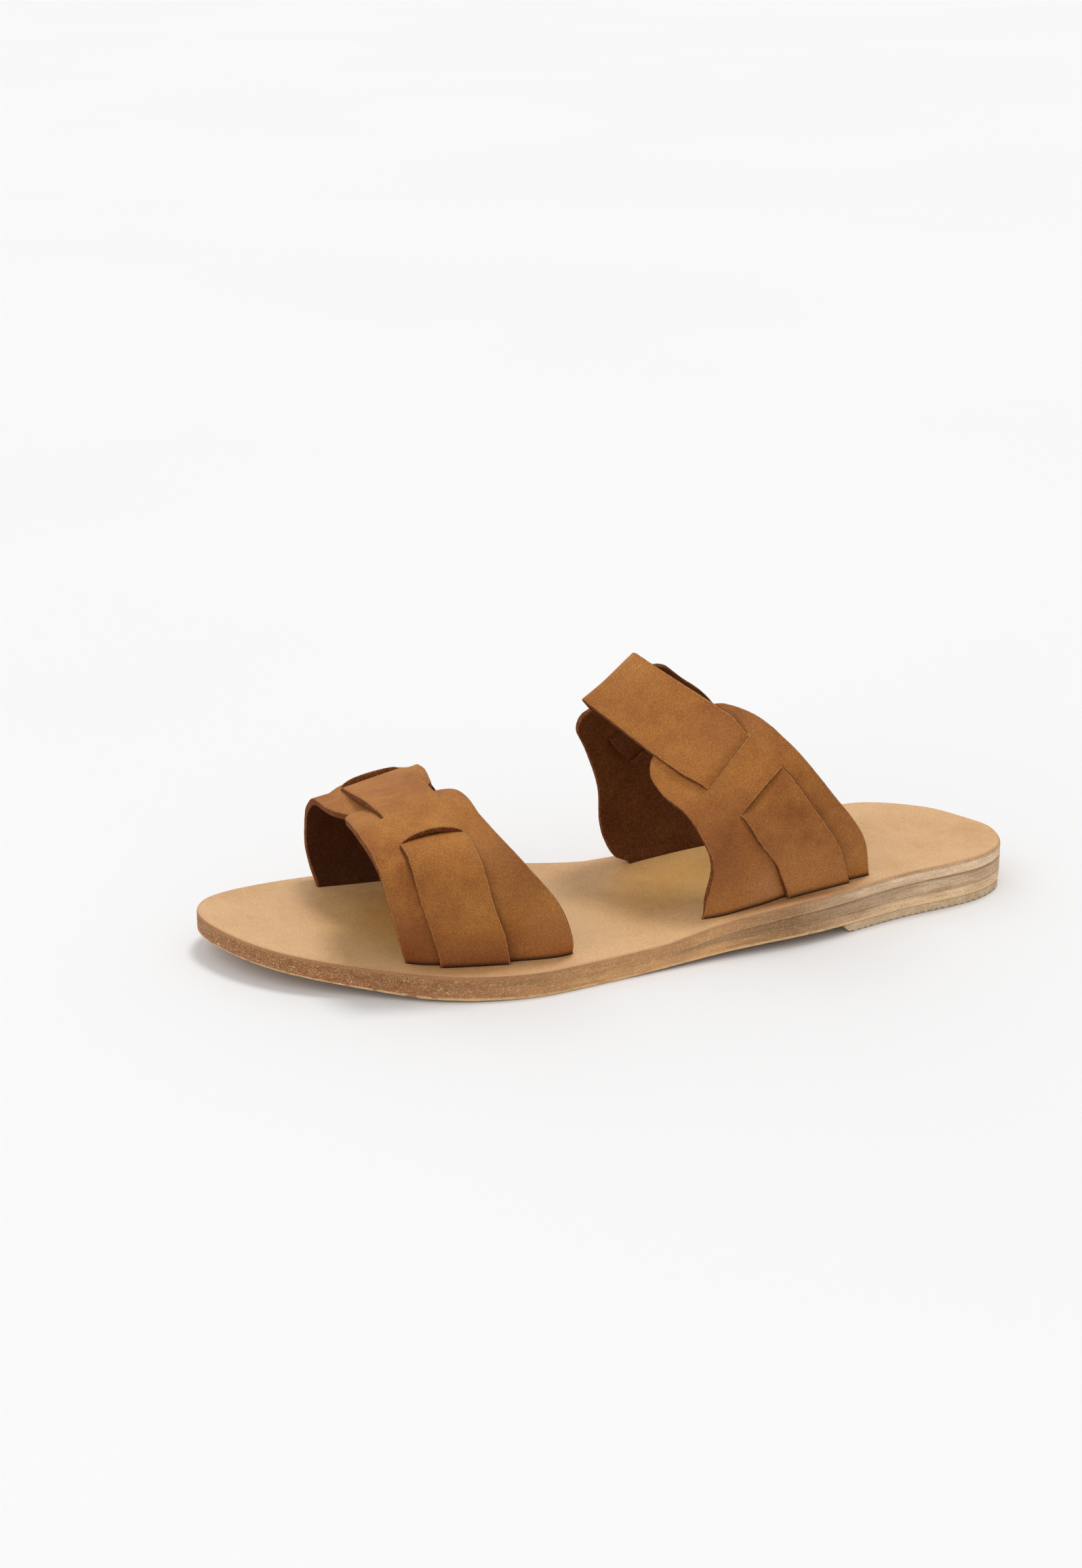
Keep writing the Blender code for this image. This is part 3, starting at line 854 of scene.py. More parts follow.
@dataclass
class Footing:
    """Plan of the sole and the heights along it."""

    length: float = 258.2
    outsole: float = 3.6        # thickness of the outsole
    footbed: float = 4.0        # thickness of the footbed
    pad: float = 2.6            # thickness of the heel pad
    gap: float = 0.3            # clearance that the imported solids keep
    level_front: float = 82.0   # the heel lies level behind here
    flat_rear: float = 151.5    # the forefoot lies flat from here
    flat_front: float = 165.5   # to here
    toe_spring: float = 5.4
    skive: float = 1.7          # how much thinner the outsole is at its tip
    skive_rear: float = 205.0   # where it starts to thin
    rim_points: int = 620       # points round the whole outline
    steps: int = 24
    wedge_along: tuple[float, ...] = (0.0, 41.5, 61.5, 86.5, 101.5, 113.5, 121.5, 129.5)
    wedge_lift: tuple[float, ...] = (4.3, 4.3, 4.0, 3.4, 2.65, 1.8, 0.9, 0.0)
    outline: tuple[PlanPoint, ...] = tuple(PlanPoint(*p) for p in (
        (0.0, 4.0), (4.8, 18.0), (17.5, 25.6), (46.5, 30.0), (81.5, 37.3), (113.5, 38.5),
        (146.5, 41.7), (173.5, 44.3), (197.5, 39.3), (221.5, 26.4), (241.5, 11.7), (253.3, -4.6),
        (258.2, -21.5), (253.0, -34.2), (237.5, -42.8), (211.5, -48.3), (186.5, -48.4),
        (161.5, -43.2), (131.5, -31.5), (99.5, -23.2), (71.5, -25.8), (49.5, -30.7),
        (29.5, -31.6), (11.8, -20.8), (3.7, -7.6)))

    def __post_init__(self) -> None:
        """Walk the outline at even steps and note the inward direction at each."""
        points = [Vector((p.across, p.along)) for p in self.outline]
        count = len(points)
        curve = []
        for index in range(count):
            four = [points[(index + k) % count] for k in (-1, 0, 1, 2)]
            knots = [0.0]
            for start, end in zip(four, four[1:]):
                knots.append(knots[-1] + (end - start).length)
            for step in range(self.steps):
                curve.append(hermite(knots, four, between(knots[1], knots[2], step / self.steps)))
        self.middle = (max(p.x for p in curve) + min(p.x for p in curve)) / 2
        self.rim = self._even(curve)
        self.inward = []
        for index in range(self.rim_points):
            tangent = self.rim[(index + 1) % self.rim_points] - self.rim[index - 1]
            self.inward.append(Vector((tangent.y, -tangent.x)).normalized() * self._hand(curve))

    @staticmethod
    def _hand(curve: Sequence[Vector]) -> float:
        """+1 or -1, so that the inward directions point inwards."""
        area = sum(a.x * b.y - b.x * a.y for a, b in zip(curve, list(curve[1:]) + [curve[0]]))
        return -1.0 if area > 0.0 else 1.0

    def _even(self, curve: list[Vector]) -> list[Vector]:
        """The closed curve as rim_points points at even distances.

        Args:
            curve: Points of the closed curve.

        Returns:
            The even points.
        """
        loop = curve + [curve[0]]
        ways = [0.0]
        for start, end in zip(loop, loop[1:]):
            ways.append(ways[-1] + (end - start).length)
        rim, cell = [], 0
        for index in range(self.rim_points):
            at = ways[-1] * index / self.rim_points
            while ways[cell + 1] < at:
                cell += 1
            share = (at - ways[cell]) / (ways[cell + 1] - ways[cell])
            rim.append(loop[cell].lerp(loop[cell + 1], share))
        return rim

    def outsole_low(self, along: float) -> float:
        """Height of the outsole's own underside, thinned towards the toe."""
        share = max(0.0, (along - self.skive_rear) / (self.length - self.skive_rear))
        return self.underside(along) + self.skive * share * (2.0 - share)

    def underside(self, along: float) -> float:
        """Height of the stack's underside above the floor.

        Args:
            along: Place along the sole, from the back of the heel.

        Returns:
            The height.
        """
        heel = (self.pad + self.gap) * ease((self.flat_rear - along) / (self.flat_rear - self.level_front))
        toe = max(0.0, (along - self.flat_front) / (self.length - self.flat_front))
        return heel + self.toe_spring * toe * toe

    def outsole_top(self, along: float) -> float:
        """Height of the outsole's upper face, which meets the layer above it."""
        return self.underside(along) + self.outsole + self.gap

    def lift(self, along: float) -> float:
        """Height that the wedge adds.

        Args:
            along: Place along the sole, from the back of the heel.

        Returns:
            The height.
        """
        cell = 0
        while cell < len(self.wedge_along) - 2 and along > self.wedge_along[cell + 1]:
            cell += 1
        start, end = self.wedge_along[cell], self.wedge_along[cell + 1]
        share = min(max((along - start) / (end - start), 0.0), 1.0)
        return between(self.wedge_lift[cell], self.wedge_lift[cell + 1], share)

    def footbed_bottom(self, along: float) -> float:
        """Height of the footbed's underside."""
        return self.outsole_top(along) + self.lift(along)

    def footbed_top(self, along: float) -> float:
        """Height of the face that the foot stands on."""
        return self.footbed_bottom(along) + self.footbed

    def spot(self, across: float, along: float, height: float) -> Vector:
        """Place in the shared frame, in millimetres."""
        return Vector((across - self.middle, self.length / 2 - along, height))

    def over_footbed(self, along: float, across: float, up: float) -> Vector:
        """Place in the shared frame for a height counted from the footbed."""
        return self.spot(across, along, up + self.footbed_top(along))


class Row(NamedTuple):
    """One ring of a sole layer's profile.

    rise is its height from the layer's foot or top, inset how far it stands inside the
    outline, and wander how far the sanded edge strays there.
    """

    from_top: bool
    rise: float
    inset: float
    wander: float = 0.0


@dataclass
class SoleLayer:
    """One layer of the sole, lofted between two heights over the plan."""

    footing: Footing
    low: Callable[[float], float]
    high: Callable[[float], float]
    rows: tuple[Row, ...]
    last: float = 258.2         # where it ends, from the back of the heel
    pitch: float = 4.0          # distance between cross-sections
    edge_inset: float = 0.0
    uncut: float = 0.5          # a layer that ends this near the toe is left whole
    thinnest: float = 0.05      # the least thickness that its levels are shared out over
    sanding: tuple[Wave, ...] = (Wave(1.0, 1.1), Wave(0.6, 3.7, 5.0))

    def shape(self) -> bmesh.types.BMesh:
        """Build the layer.

        Returns:
            The closed layer with its marks, in millimetres in the shared frame.
        """
        work = bmesh.new()
        count = self.footing.rim_points
        turn = work.verts.layers.int.new("turn")
        bmesh.ops.create_circle(work, segments=count, radius=1.0, cap_ends=True)
        ring = sorted(work.verts, key=lambda v: math.atan2(v.co.y, v.co.x) % math.tau)
        for index, vert in enumerate(ring):
            vert[turn] = index
        self._set_ring(ring, turn, 0)
        top = work.faces[:]
        for number in range(1, len(self.rows)):
            top, ring = pulled_out(work, top)
            self._set_ring(ring, turn, number)
        self._trim(work)
        for along in spaced(0.0, self.last, self.pitch)[1:-1]:
            bmesh.ops.bisect_plane(work, geom=work.verts[:] + work.edges[:] + work.faces[:],
                                   plane_co=(0, along, 0), plane_no=(0, 1, 0), dist=ON_PLANE)
        self._rise(work)
        return work

    def _set_ring(self, ring: Sequence[bmesh.types.BMVert], turn: Any, number: int) -> None:
        """Lay one ring over the outline, inset by its row, at a height of its number.

        Args:
            ring: Points of the ring.
            turn: Layer with their places round the outline.
            number: Number of the row.
        """
        row = self.rows[number]
        for vert in ring:
            index = vert[turn]
            point = self.footing.rim[index]
            seed = Vector((point.x, point.y, 3.0 * number))
            stray = waved(self.sanding, seed) * row.wander
            point = point + self.footing.inward[index] * (row.inset + self.edge_inset + stray)
            vert.co = (point.x, point.y, float(number))

    def _trim(self, work: bmesh.types.BMesh) -> None:
        """Cut the layer square if it ends before the toe.

        Args:
            work: The layer.
        """
        if self.last < self.footing.length - self.uncut:
            cut = bmesh.ops.bisect_plane(
                work, geom=work.verts[:] + work.edges[:] + work.faces[:], dist=ON_PLANE,
                plane_co=(0, self.last, 0), plane_no=(0, 1, 0), clear_outer=True)
            rim = [g for g in cut["geom_cut"] if isinstance(g, bmesh.types.BMEdge)]
            bmesh.ops.contextual_create(work, geom=rim)

    def _rise(self, work: bmesh.types.BMesh) -> None:
        """Lift every point from its row number to its height, and mark it.

        Args:
            work: The layer, as high as it has rows.
        """
        level = work.verts.layers.float.new(Mark.LEVEL.value)
        at_rim = work.verts.layers.float.new(Mark.AT_RIM.value)
        last = len(self.rows) - 1
        for vert in work.verts:
            across, along, number = vert.co
            cell = min(int(number + 1e-4), last - 1)
            share = number - cell
            bottom, top = self.low(along), self.high(along)
            heights = [(top if row.from_top else bottom) + row.rise for row in self.rows[cell:cell + 2]]
            height = between(heights[0], heights[1], share)
            vert[level] = (height - bottom) / max(top - bottom, self.thinnest)
            inset = between(self.rows[cell].inset, self.rows[cell + 1].inset, share)
            vert[at_rim] = max(0.0, 1.0 - inset / RIM_REACH)
            vert.co = self.footing.spot(across, along, height)


# ---------------------------------------------------------------- bands

class BandRow(NamedTuple):
    """One row across a band panel, from its front edge to its rear edge.

    Each edge is a place along, across and above the footbed; strap_front and strap_rear
    are the shares of the width between which the link strap lies.
    """

    name: str
    front: tuple[float, float, float]
    rear: tuple[float, float, float]
    strap_front: float
    strap_rear: float


@dataclass(frozen=True)
class Slit:
    """One slit, seen from the bridge that the strap passes under.

    lens is how far the bridge's lip stands back in the middle, lip its extra lift, meet
    the height of the strap's face where it passes the slit, and press how far the panel
    gives way under the strap beside it.
    """

    row: str
    lens: float
    lip: float
    meet: float
    press: float


@dataclass(frozen=True)
class Crease:
    """A soft trough (or ridge, with a negative depth) between two (run, share) places."""

    start: tuple[float, float]
    end: tuple[float, float]
    width: float
    depth: float


def sunk(creases: Sequence[Crease], width: Callable[[float], float], run: float,
         share: float) -> float:
    """How deep some creases are at a place of a hide.

    Args:
        creases: The creases.
        width: The hide's width at a run.
        run: Run of the place.
        share: Its share of the width.

    Returns:
        The depth there, in millimetres.
    """
    here = Vector((share * width(run), run))
    depth = 0.0
    for crease in creases:
        start, end = (Vector((s * width(r), r)) for r, s in (crease.start, crease.end))
        along = end - start
        share_along = min(max((here - start).dot(along) / along.length_squared, 0.0), 1.0)
        off = (here - start - along * share_along).length / crease.width
        depth += crease.depth * math.exp(-off * off)
    return depth


class Hand(Enum):
    """Which side of the foot a panel is on; the value turns its normals outwards."""

    OUTER = 1.0
    INNER = -1.0


@dataclass(kw_only=True)
class Hide:
    """A sheet of the bands, cut flat, given its wall and bent over the foot.

    A kind of hide gives its fray, how far its cut edges wander, and says with width() and
    bent() where its points go. Runs are counted along it and shares across it.
    """

    creases: tuple[Crease, ...] = ()
    wall: float = 2.2
    chamfer: float = 0.28
    sink: float = 0.12          # how far a strap presses into what it lies on
    stand: float = 6.0          # run over which its foot stands true in its slot
    strata: tuple[float, ...] = (0.38, 0.66)    # shares of the wall where its edge is ringed
    ragged: tuple[Wave, ...] = (Wave(0.9, 0.7), Wave(0.35, 2.6, 3.0))

    def shaped(self, columns: Sequence[float], rows: Sequence[float]) -> bmesh.types.BMesh:
        """Cut the hide flat with x across it, y along it and z into its wall, then bend it.

        Args:
            columns: Shares across the hide.
            rows: Runs along it.

        Returns:
            The closed hide: face number 0 is the grain side, 1 the flesh side, 2 the cut edge.
        """
        work = bmesh.new()
        bmesh.ops.create_grid(work, x_segments=len(columns) - 1, y_segments=len(rows) - 1, size=0.5)
        order = sorted(work.verts, key=lambda v: (round(v.co.y, PLACES), round(v.co.x, PLACES)))
        for index, vert in enumerate(order):
            vert.co = (columns[index % len(columns)], rows[index // len(columns)], 0.0)
        slits = self.slit_edges(work)
        if slits:
            bmesh.ops.split_edges(work, edges=slits)
            self._part_lips(work, {round(e.verts[0].co.y, PLACES) for e in slits})
        last = work.faces[:]
        for depth in (self.chamfer, *(self.wall * share for share in self.strata),
                      self.wall - self.chamfer, self.wall):
            last, far_side = pulled_out(work, last)
            for vert in far_side:
                vert.co.z = depth
        for face in work.faces:
            depths = [v.co.z for v in face.verts]
            on_flesh = min(depths) > self.wall - HAIR
            face.material_index = 0 if max(depths) < HAIR else 1 if on_flesh else 2
        self._bend(work, rows[-1])
        return work

    def _part_lips(self, work: bmesh.types.BMesh, runs: set[float]) -> None:
        """Draw the two lips of each slit a hair apart, so that each knows its side.

        Args:
            work: The flat hide, split along its slits.
            runs: Runs of the slits.
        """
        for vert in work.verts:
            if round(vert.co.y, PLACES) in runs and vert.is_boundary and 0.0 < vert.co.x < 1.0:
                sides = {face.calc_center_median().y > vert.co.y for face in vert.link_faces}
                if len(sides) == 1:
                    vert.co.y += NUDGE if sides.pop() else -NUDGE

    def _bend(self, work: bmesh.types.BMesh, end: float) -> None:
        """Round the cut edges, fray them, mark the points and bend them into place.

        Args:
            work: The flat hide with its wall.
            end: Run of its last row.
        """
        marks = {mark: work.verts.layers.float.new(mark.value)
                 for mark in (Mark.DEPTH, Mark.FROM_EDGE, Mark.ABOVE_SOLE, Mark.RUBBED, Mark.SHARE)}
        for vert in work.verts:
            share, run, depth = vert.co
            sideways = -1.0 if share < HAIR else 1.0 if share > 1.0 - HAIR else 0.0
            outward = Vector((sideways, self.at_lip(run, run > end - HAIR)))
            shallow = depth < HAIR or depth > self.wall - HAIR
            seed = Vector((share * self.width(run), run, depth * 1.7))
            push = outward * (-self.chamfer if shallow else self.fray * waved(self.ragged, seed))
            place_there, off = self.bent(share, run, depth, tuple(push))
            vert[marks[Mark.DEPTH]] = depth / self.wall
            vert[marks[Mark.FROM_EDGE]] = off
            vert[marks[Mark.RUBBED]] = self.gloss(run, share)
            vert[marks[Mark.SHARE]] = share
            vert[marks[Mark.ABOVE_SOLE]] = place_there.z - self.footing.footbed_top(
                self.footing.length / 2 - place_there.y)
            vert.co = place_there

    def slit_edges(self, work: bmesh.types.BMesh) -> list[bmesh.types.BMEdge]:
        """Edges of the flat hide that its slits cut: none, unless it is a panel."""
        return []

    def at_lip(self, run: float, at_end: bool) -> float:
        """Which way a cut across the hide faces at this run: here, none is shaped."""
        return 0.0

    def gloss(self, run: float, share: float) -> float:
        """How far the grain is rubbed glossy: it keeps its dull grain."""
        return 0.0

    def creased(self, run: float, share: float) -> float:
        """How deep the hide's creases are at a place."""
        return sunk(self.creases, self.width, run, share)


@dataclass
class Panel(Hide):
    """One panel of a band: a hide from its slot in the sole to its flap over the foot."""

    footing: Footing
    hand: Hand
    rows: tuple[BandRow, ...]
    slits: tuple[Slit, Slit]
    front_corner: float = 6.0
    rear_corner: float = 6.0
    bow: tuple[float, float] = (0.0, 0.0)   # how far its foot bows out, in front and behind
    rubbed: tuple[Crease, ...] = ()     # where its grain is rubbed glossy
    bow_height: float = 9.0     # run at which that bow has gone
    bulge: float = 1.2          # how far the bridge stands out over the strap
    skirt: float = 3.5          # how far beside the strap that bulge dies away
    root: float = 3.2           # depth of its foot in the slot
    slit_past: float = 0.5      # how far a slit runs past the strap's edges
    press_reach: float = 7.0    # how far from a slit the strap still presses it down
    lip_reach: float = 4.0      # how far from a slit its lip is still lifted
    skirt_over: float = 0.6     # how far inside the strap's edge the bulge is full
    opening: float = 2.2        # how far from its end a slit is fully open
    slope: float = 6.0          # run over which the bulge fades where there is no slit
    tuck: float = 0.05          # room between the strap and the bridge over it
    climb: float = 2.6          # run in which the strap climbs onto the panel
    dive: float = 4.5           # run in which it dives under the bridge
    pitch: float = 1.15         # distance between its rows and columns
    least: float = 0.2          # least distance between two rows
    beside_slit: tuple[float, ...] = (-1.0, -0.5, 0.5, 1.0)             # extra rows there
    round_corner: tuple[float, ...] = (0.04, 0.12, 0.24, 0.4, 0.6, 0.8)  # and there
    rim: float = 0.5            # distance of its second column from the edge
    fray: float = 0.06
    waves: tuple[Wave, ...] = (Wave(0.16, 14.0, 1.0), Wave(0.05, 5.0, 2.0))

    def __post_init__(self) -> None:
        """Measure the runs between the rows."""
        self.fronts = [Vector(row.front) for row in self.rows]
        self.rears = [Vector(row.rear) for row in self.rows]
        self.knots = [0.0]
        for index in range(1, len(self.rows)):
            step = (self.fronts[index] + self.rears[index]
                    - self.fronts[index - 1] - self.rears[index - 1]).length / 2
            self.knots.append(self.knots[-1] + step)
        self.run_of = {row.name: knot for row, knot in zip(self.rows, self.knots)}
        self.length = self.knots[-1]
        self.cuts = [(slit, self.run_of[slit.row], 1.0 if slit.row == "lower slit" else -1.0)
                     for slit in self.slits]

    # -- the plain surface

    def edge(self, points: Sequence[Vector], run: float) -> Vector:
        """Point on one edge; below the slot it goes straight down into the sole.

        Args:
            points: The rows' points on that edge.
            run: Run of the place.

        Returns:
            The point.
        """
        if run < 0.0:
            return points[0] + Vector((0, 0, run))
        return hermite(self.knots, points, run)

    def plain(self, run: float, share: float) -> Vector:
        """Point on the outer face before slits, bulges and creases shape it.

        Args:
            run: Run of the place.
            share: Its share of the width.

        Returns:
            The place in the shared frame.
        """
        spot = self.edge(self.fronts, run).lerp(self.edge(self.rears, run), share)
        bow = between(*self.bow, ease((share - 0.3) / 0.4)) * (1.0 - abs(2.0 * share - 1.0) ** 6)
        spot.y += bow * (1.0 - ease(run / self.bow_height)) * self.hand.value
        return self.footing.over_footbed(*spot)

    def outward(self, run: float, share: float) -> Vector:
        """Direction out of the foot.

        Args:
            run: Run of the place.
            share: Its share of the width.

        Returns:
            The direction, of length 1.
        """
        up = self.plain(run + 0.5, share) - self.plain(run - 0.5, share)
        back = self.plain(run, share + 0.01) - self.plain(run, share - 0.01)
        return back.cross(up).normalized() * self.hand.value

    def width(self, run: float) -> float:
        """Distance from the front edge to the rear edge."""
        return (self.edge(self.rears, run) - self.edge(self.fronts, run)).length

    def strap_shares(self, run: float) -> tuple[float, float]:
        """Shares of the width between which the strap lies.

        Args:
            run: Run of the place.

        Returns:
            Shares of the strap's front and rear edges.
        """
        at = min(max(run, 0.0), self.length)
        return (hermite(self.knots, [r.strap_front for r in self.rows], at),
                hermite(self.knots, [r.strap_rear for r in self.rows], at))

    # -- the fields that shape it

    def inside_strap(self, run: float, share: float) -> float:
        """Millimetres inside the strap's width, negative beside it."""
        front, rear = self.strap_shares(run)
        return min(share - front, rear - share) * self.width(run)

    def arch(self, run: float, share: float) -> float:
        """1 over the middle of the strap, 0 at the ends of a slit and beyond.

        Args:
            run: Run of the place.
            share: Its share of the width.

        Returns:
            Height of the arch.
        """
        front, rear = self.strap_shares(run)
        past = self.slit_past / self.width(run)
        place_across = (share - front + past) / (rear - front + 2 * past)
        return math.sin(math.pi * min(max(place_across, 0.0), 1.0)) ** 0.85

    def lift(self, run: float, share: float) -> float:
        """How far the outer face stands out of the plain surface.

        Args:
            run: Run of the place.
            share: Its share of the width.

        Returns:
            Millimetres outwards.
        """
        inside = self.inside_strap(run, share)
        over = ease((inside + self.skirt) / (self.skirt + self.skirt_over))
        opened = ease((inside + self.slit_past) / self.opening)
        bridge, extra = 1.0, 0.0
        for slit, at, toward in self.cuts:
            away = (run - at) * toward
            soft = ease((away + self.slope / 2) / self.slope)
            hard = 1.0 if away > 0.0 else 0.0
            bridge *= between(soft, hard, opened)
            if away > 0.0:
                extra += slit.lip * self.arch(run, share) * math.exp(-away / self.lip_reach)
            else:
                extra -= slit.press * opened * math.exp(-(away / self.press_reach) ** 2)
        return self.bulge * bridge * over + extra

    def gloss(self, run: float, share: float) -> float:
        """How far the grain is rubbed glossy here."""
        return sunk(self.rubbed, self.width, run, share)

    def drawn_back(self, run: float, share: float) -> float:
        """Run of a point once the lips of the slits have opened into lenses.

        Args:
            run: Run before they open.
            share: Its share of the width.

        Returns:
            Run after.
        """
        span = self.run_of["upper slit"] - self.run_of["lower slit"]
        moved = run
        for slit, at, toward in self.cuts:
            away = (run - at) * toward
            if 0.0 < away < span:
                moved += toward * slit.lens * self.arch(at, share) * (1.0 - away / span) ** 2
        return moved

    def rounded(self, run: float, share: float) -> float:
        """Share with the flap's two corners rounded off.

        Args:
            run: Run of the place.
            share: Its share of the width.

        Returns:
            The new share.
        """
        corner = self.front_corner if share < 0.5 else self.rear_corner
        inside = corner - abs(run - self.length)
        if inside <= 0.0:
            return share
        cut = corner - math.sqrt(max(corner ** 2 - inside ** 2, 0.0))
        return 0.5 + (share - 0.5) * (1.0 - 2.0 * cut / self.width(run))

    def face(self, run: float, share: float, depth: float = 0.0,
             push: tuple[float, float] = (0.0, 0.0)) -> Vector:
        """Point of the finished panel.

        Args:
            run: Its run before the slits open.
            share: Its share of the width.
            depth: Millimetres into the wall.
            push: Millimetres that its cut edge stands out, across and along.

        Returns:
            The place in the shared frame, in millimetres.
        """
        at = self.drawn_back(run, share) + push[1]
        side = self.rounded(run, share) + push[0] / self.width(run)
        plain = self.plain(at, side)
        grounded = ease(run / self.stand)
        wave = waved(self.waves, plain)
        out = (self.lift(run, share) - self.creased(run, share) + wave) * grounded
        return plain + self.outward(at, side) * (out - depth)

    def strap_lift(self, run: float) -> float:
        """How far the strap's outer face stands out of the plain surface.

        Args:
            run: Run of the place.

        Returns:
            Millimetres outwards.
        """
        under = self.bulge - self.wall - self.tuck
        riding = self.wall - self.sink
        best = riding
        for slit, at, toward in self.cuts:
            away = (run - at) * toward
            over = riding - slit.press * math.exp(-(away / self.press_reach) ** 2)
            if away <= 0.0:
                best = min(best, between(slit.meet, over, ease(-away / self.climb)))
            elif away < (self.run_of["upper slit"] - self.run_of["lower slit"]) / 2:
                return between(slit.meet, under, ease(away / self.dive))
        return best

    # -- the mesh

    def columns(self) -> list[float]:
        """Shares at which the panel has its columns, finer at its edges.

        Returns:
            The shares, rising.
        """
        wide = max(self.width(run) for run in self.knots)
        rim = [k / wide for k in (0.0, self.rim)]
        return merged(rim + [1.0 - r for r in rim] + spaced(0.0, 1.0, self.pitch / wide), 0.3 / wide)

    def run_rows(self) -> list[float]:
        """Runs at which the panel has its rows, finer at its slits and its flap.

        Returns:
            The runs, rising.
        """
        exact = [-self.root, 0.0, self.length] + [at for _, at, _ in self.cuts]
        fine = [at + step for _, at, _ in self.cuts for step in self.beside_slit]
        radius = max(self.front_corner, self.rear_corner)
        fine += [self.length - radius * part for part in self.round_corner]
        loose = fine + spaced(0.0, self.length, self.pitch)
        kept = [run for run in loose if min(abs(run - e) for e in exact) > self.least]
        return merged(exact + kept, self.least)

    def shape(self) -> bmesh.types.BMesh:
        """The closed panel, with its marks and face numbers."""
        return self.shaped(self.columns(), self.run_rows())

    def slit_edges(self, work: bmesh.types.BMesh) -> list[bmesh.types.BMEdge]:
        """Edges of the flat hide that the slits cut.

        Args:
            work: The flat hide.

        Returns:
            The edges.
        """
        found = []
        for _, at, _ in self.cuts:
            front, rear = self.strap_shares(at)
            past = self.slit_past / self.width(at)
            for cut in work.edges:
                if all(abs(v.co.y - at) < 1e-3 and front - past <= v.co.x <= rear + past
                       for v in cut.verts):
                    found.append(cut)
        return found

    def at_lip(self, run: float, at_end: bool) -> float:
        """Which way a cut across the panel faces.

        Args:
            run: Run of the place.
            at_end: Whether it is at the end of the flap.

        Returns:
            -1 or 1 at the end of the flap or a slit's lip, 0 elsewhere.
        """
        if at_end:
            return 1.0
        for _, at, _ in self.cuts:
            if 0.1 * NUDGE < abs(run - at) < 2 * NUDGE:
                return 1.0 if run < at else -1.0
        return 0.0

    def bent(self, share: float, run: float, depth: float,
             push: tuple[float, float] = (0.0, 0.0)) -> tuple[Vector, float]:
        """A hide point's place in the shared frame and its distance from the nearest cut.

        Args:
            share: Its share of the width.
            run: Run of the place.
            depth: Millimetres into the wall.
            push: Millimetres that its cut edge stands out, across and along.

        Returns:
            The place and the distance.
        """
        wide = self.width(run)
        off = min(share * wide, (1.0 - share) * wide, self.length - run)
        inside = self.inside_strap(run, share)
        if inside > -self.slit_past:
            off = min([off] + [abs(run - at) for _, at, _ in self.cuts])
        return self.face(run, share, depth, push), max(off, 0.0)


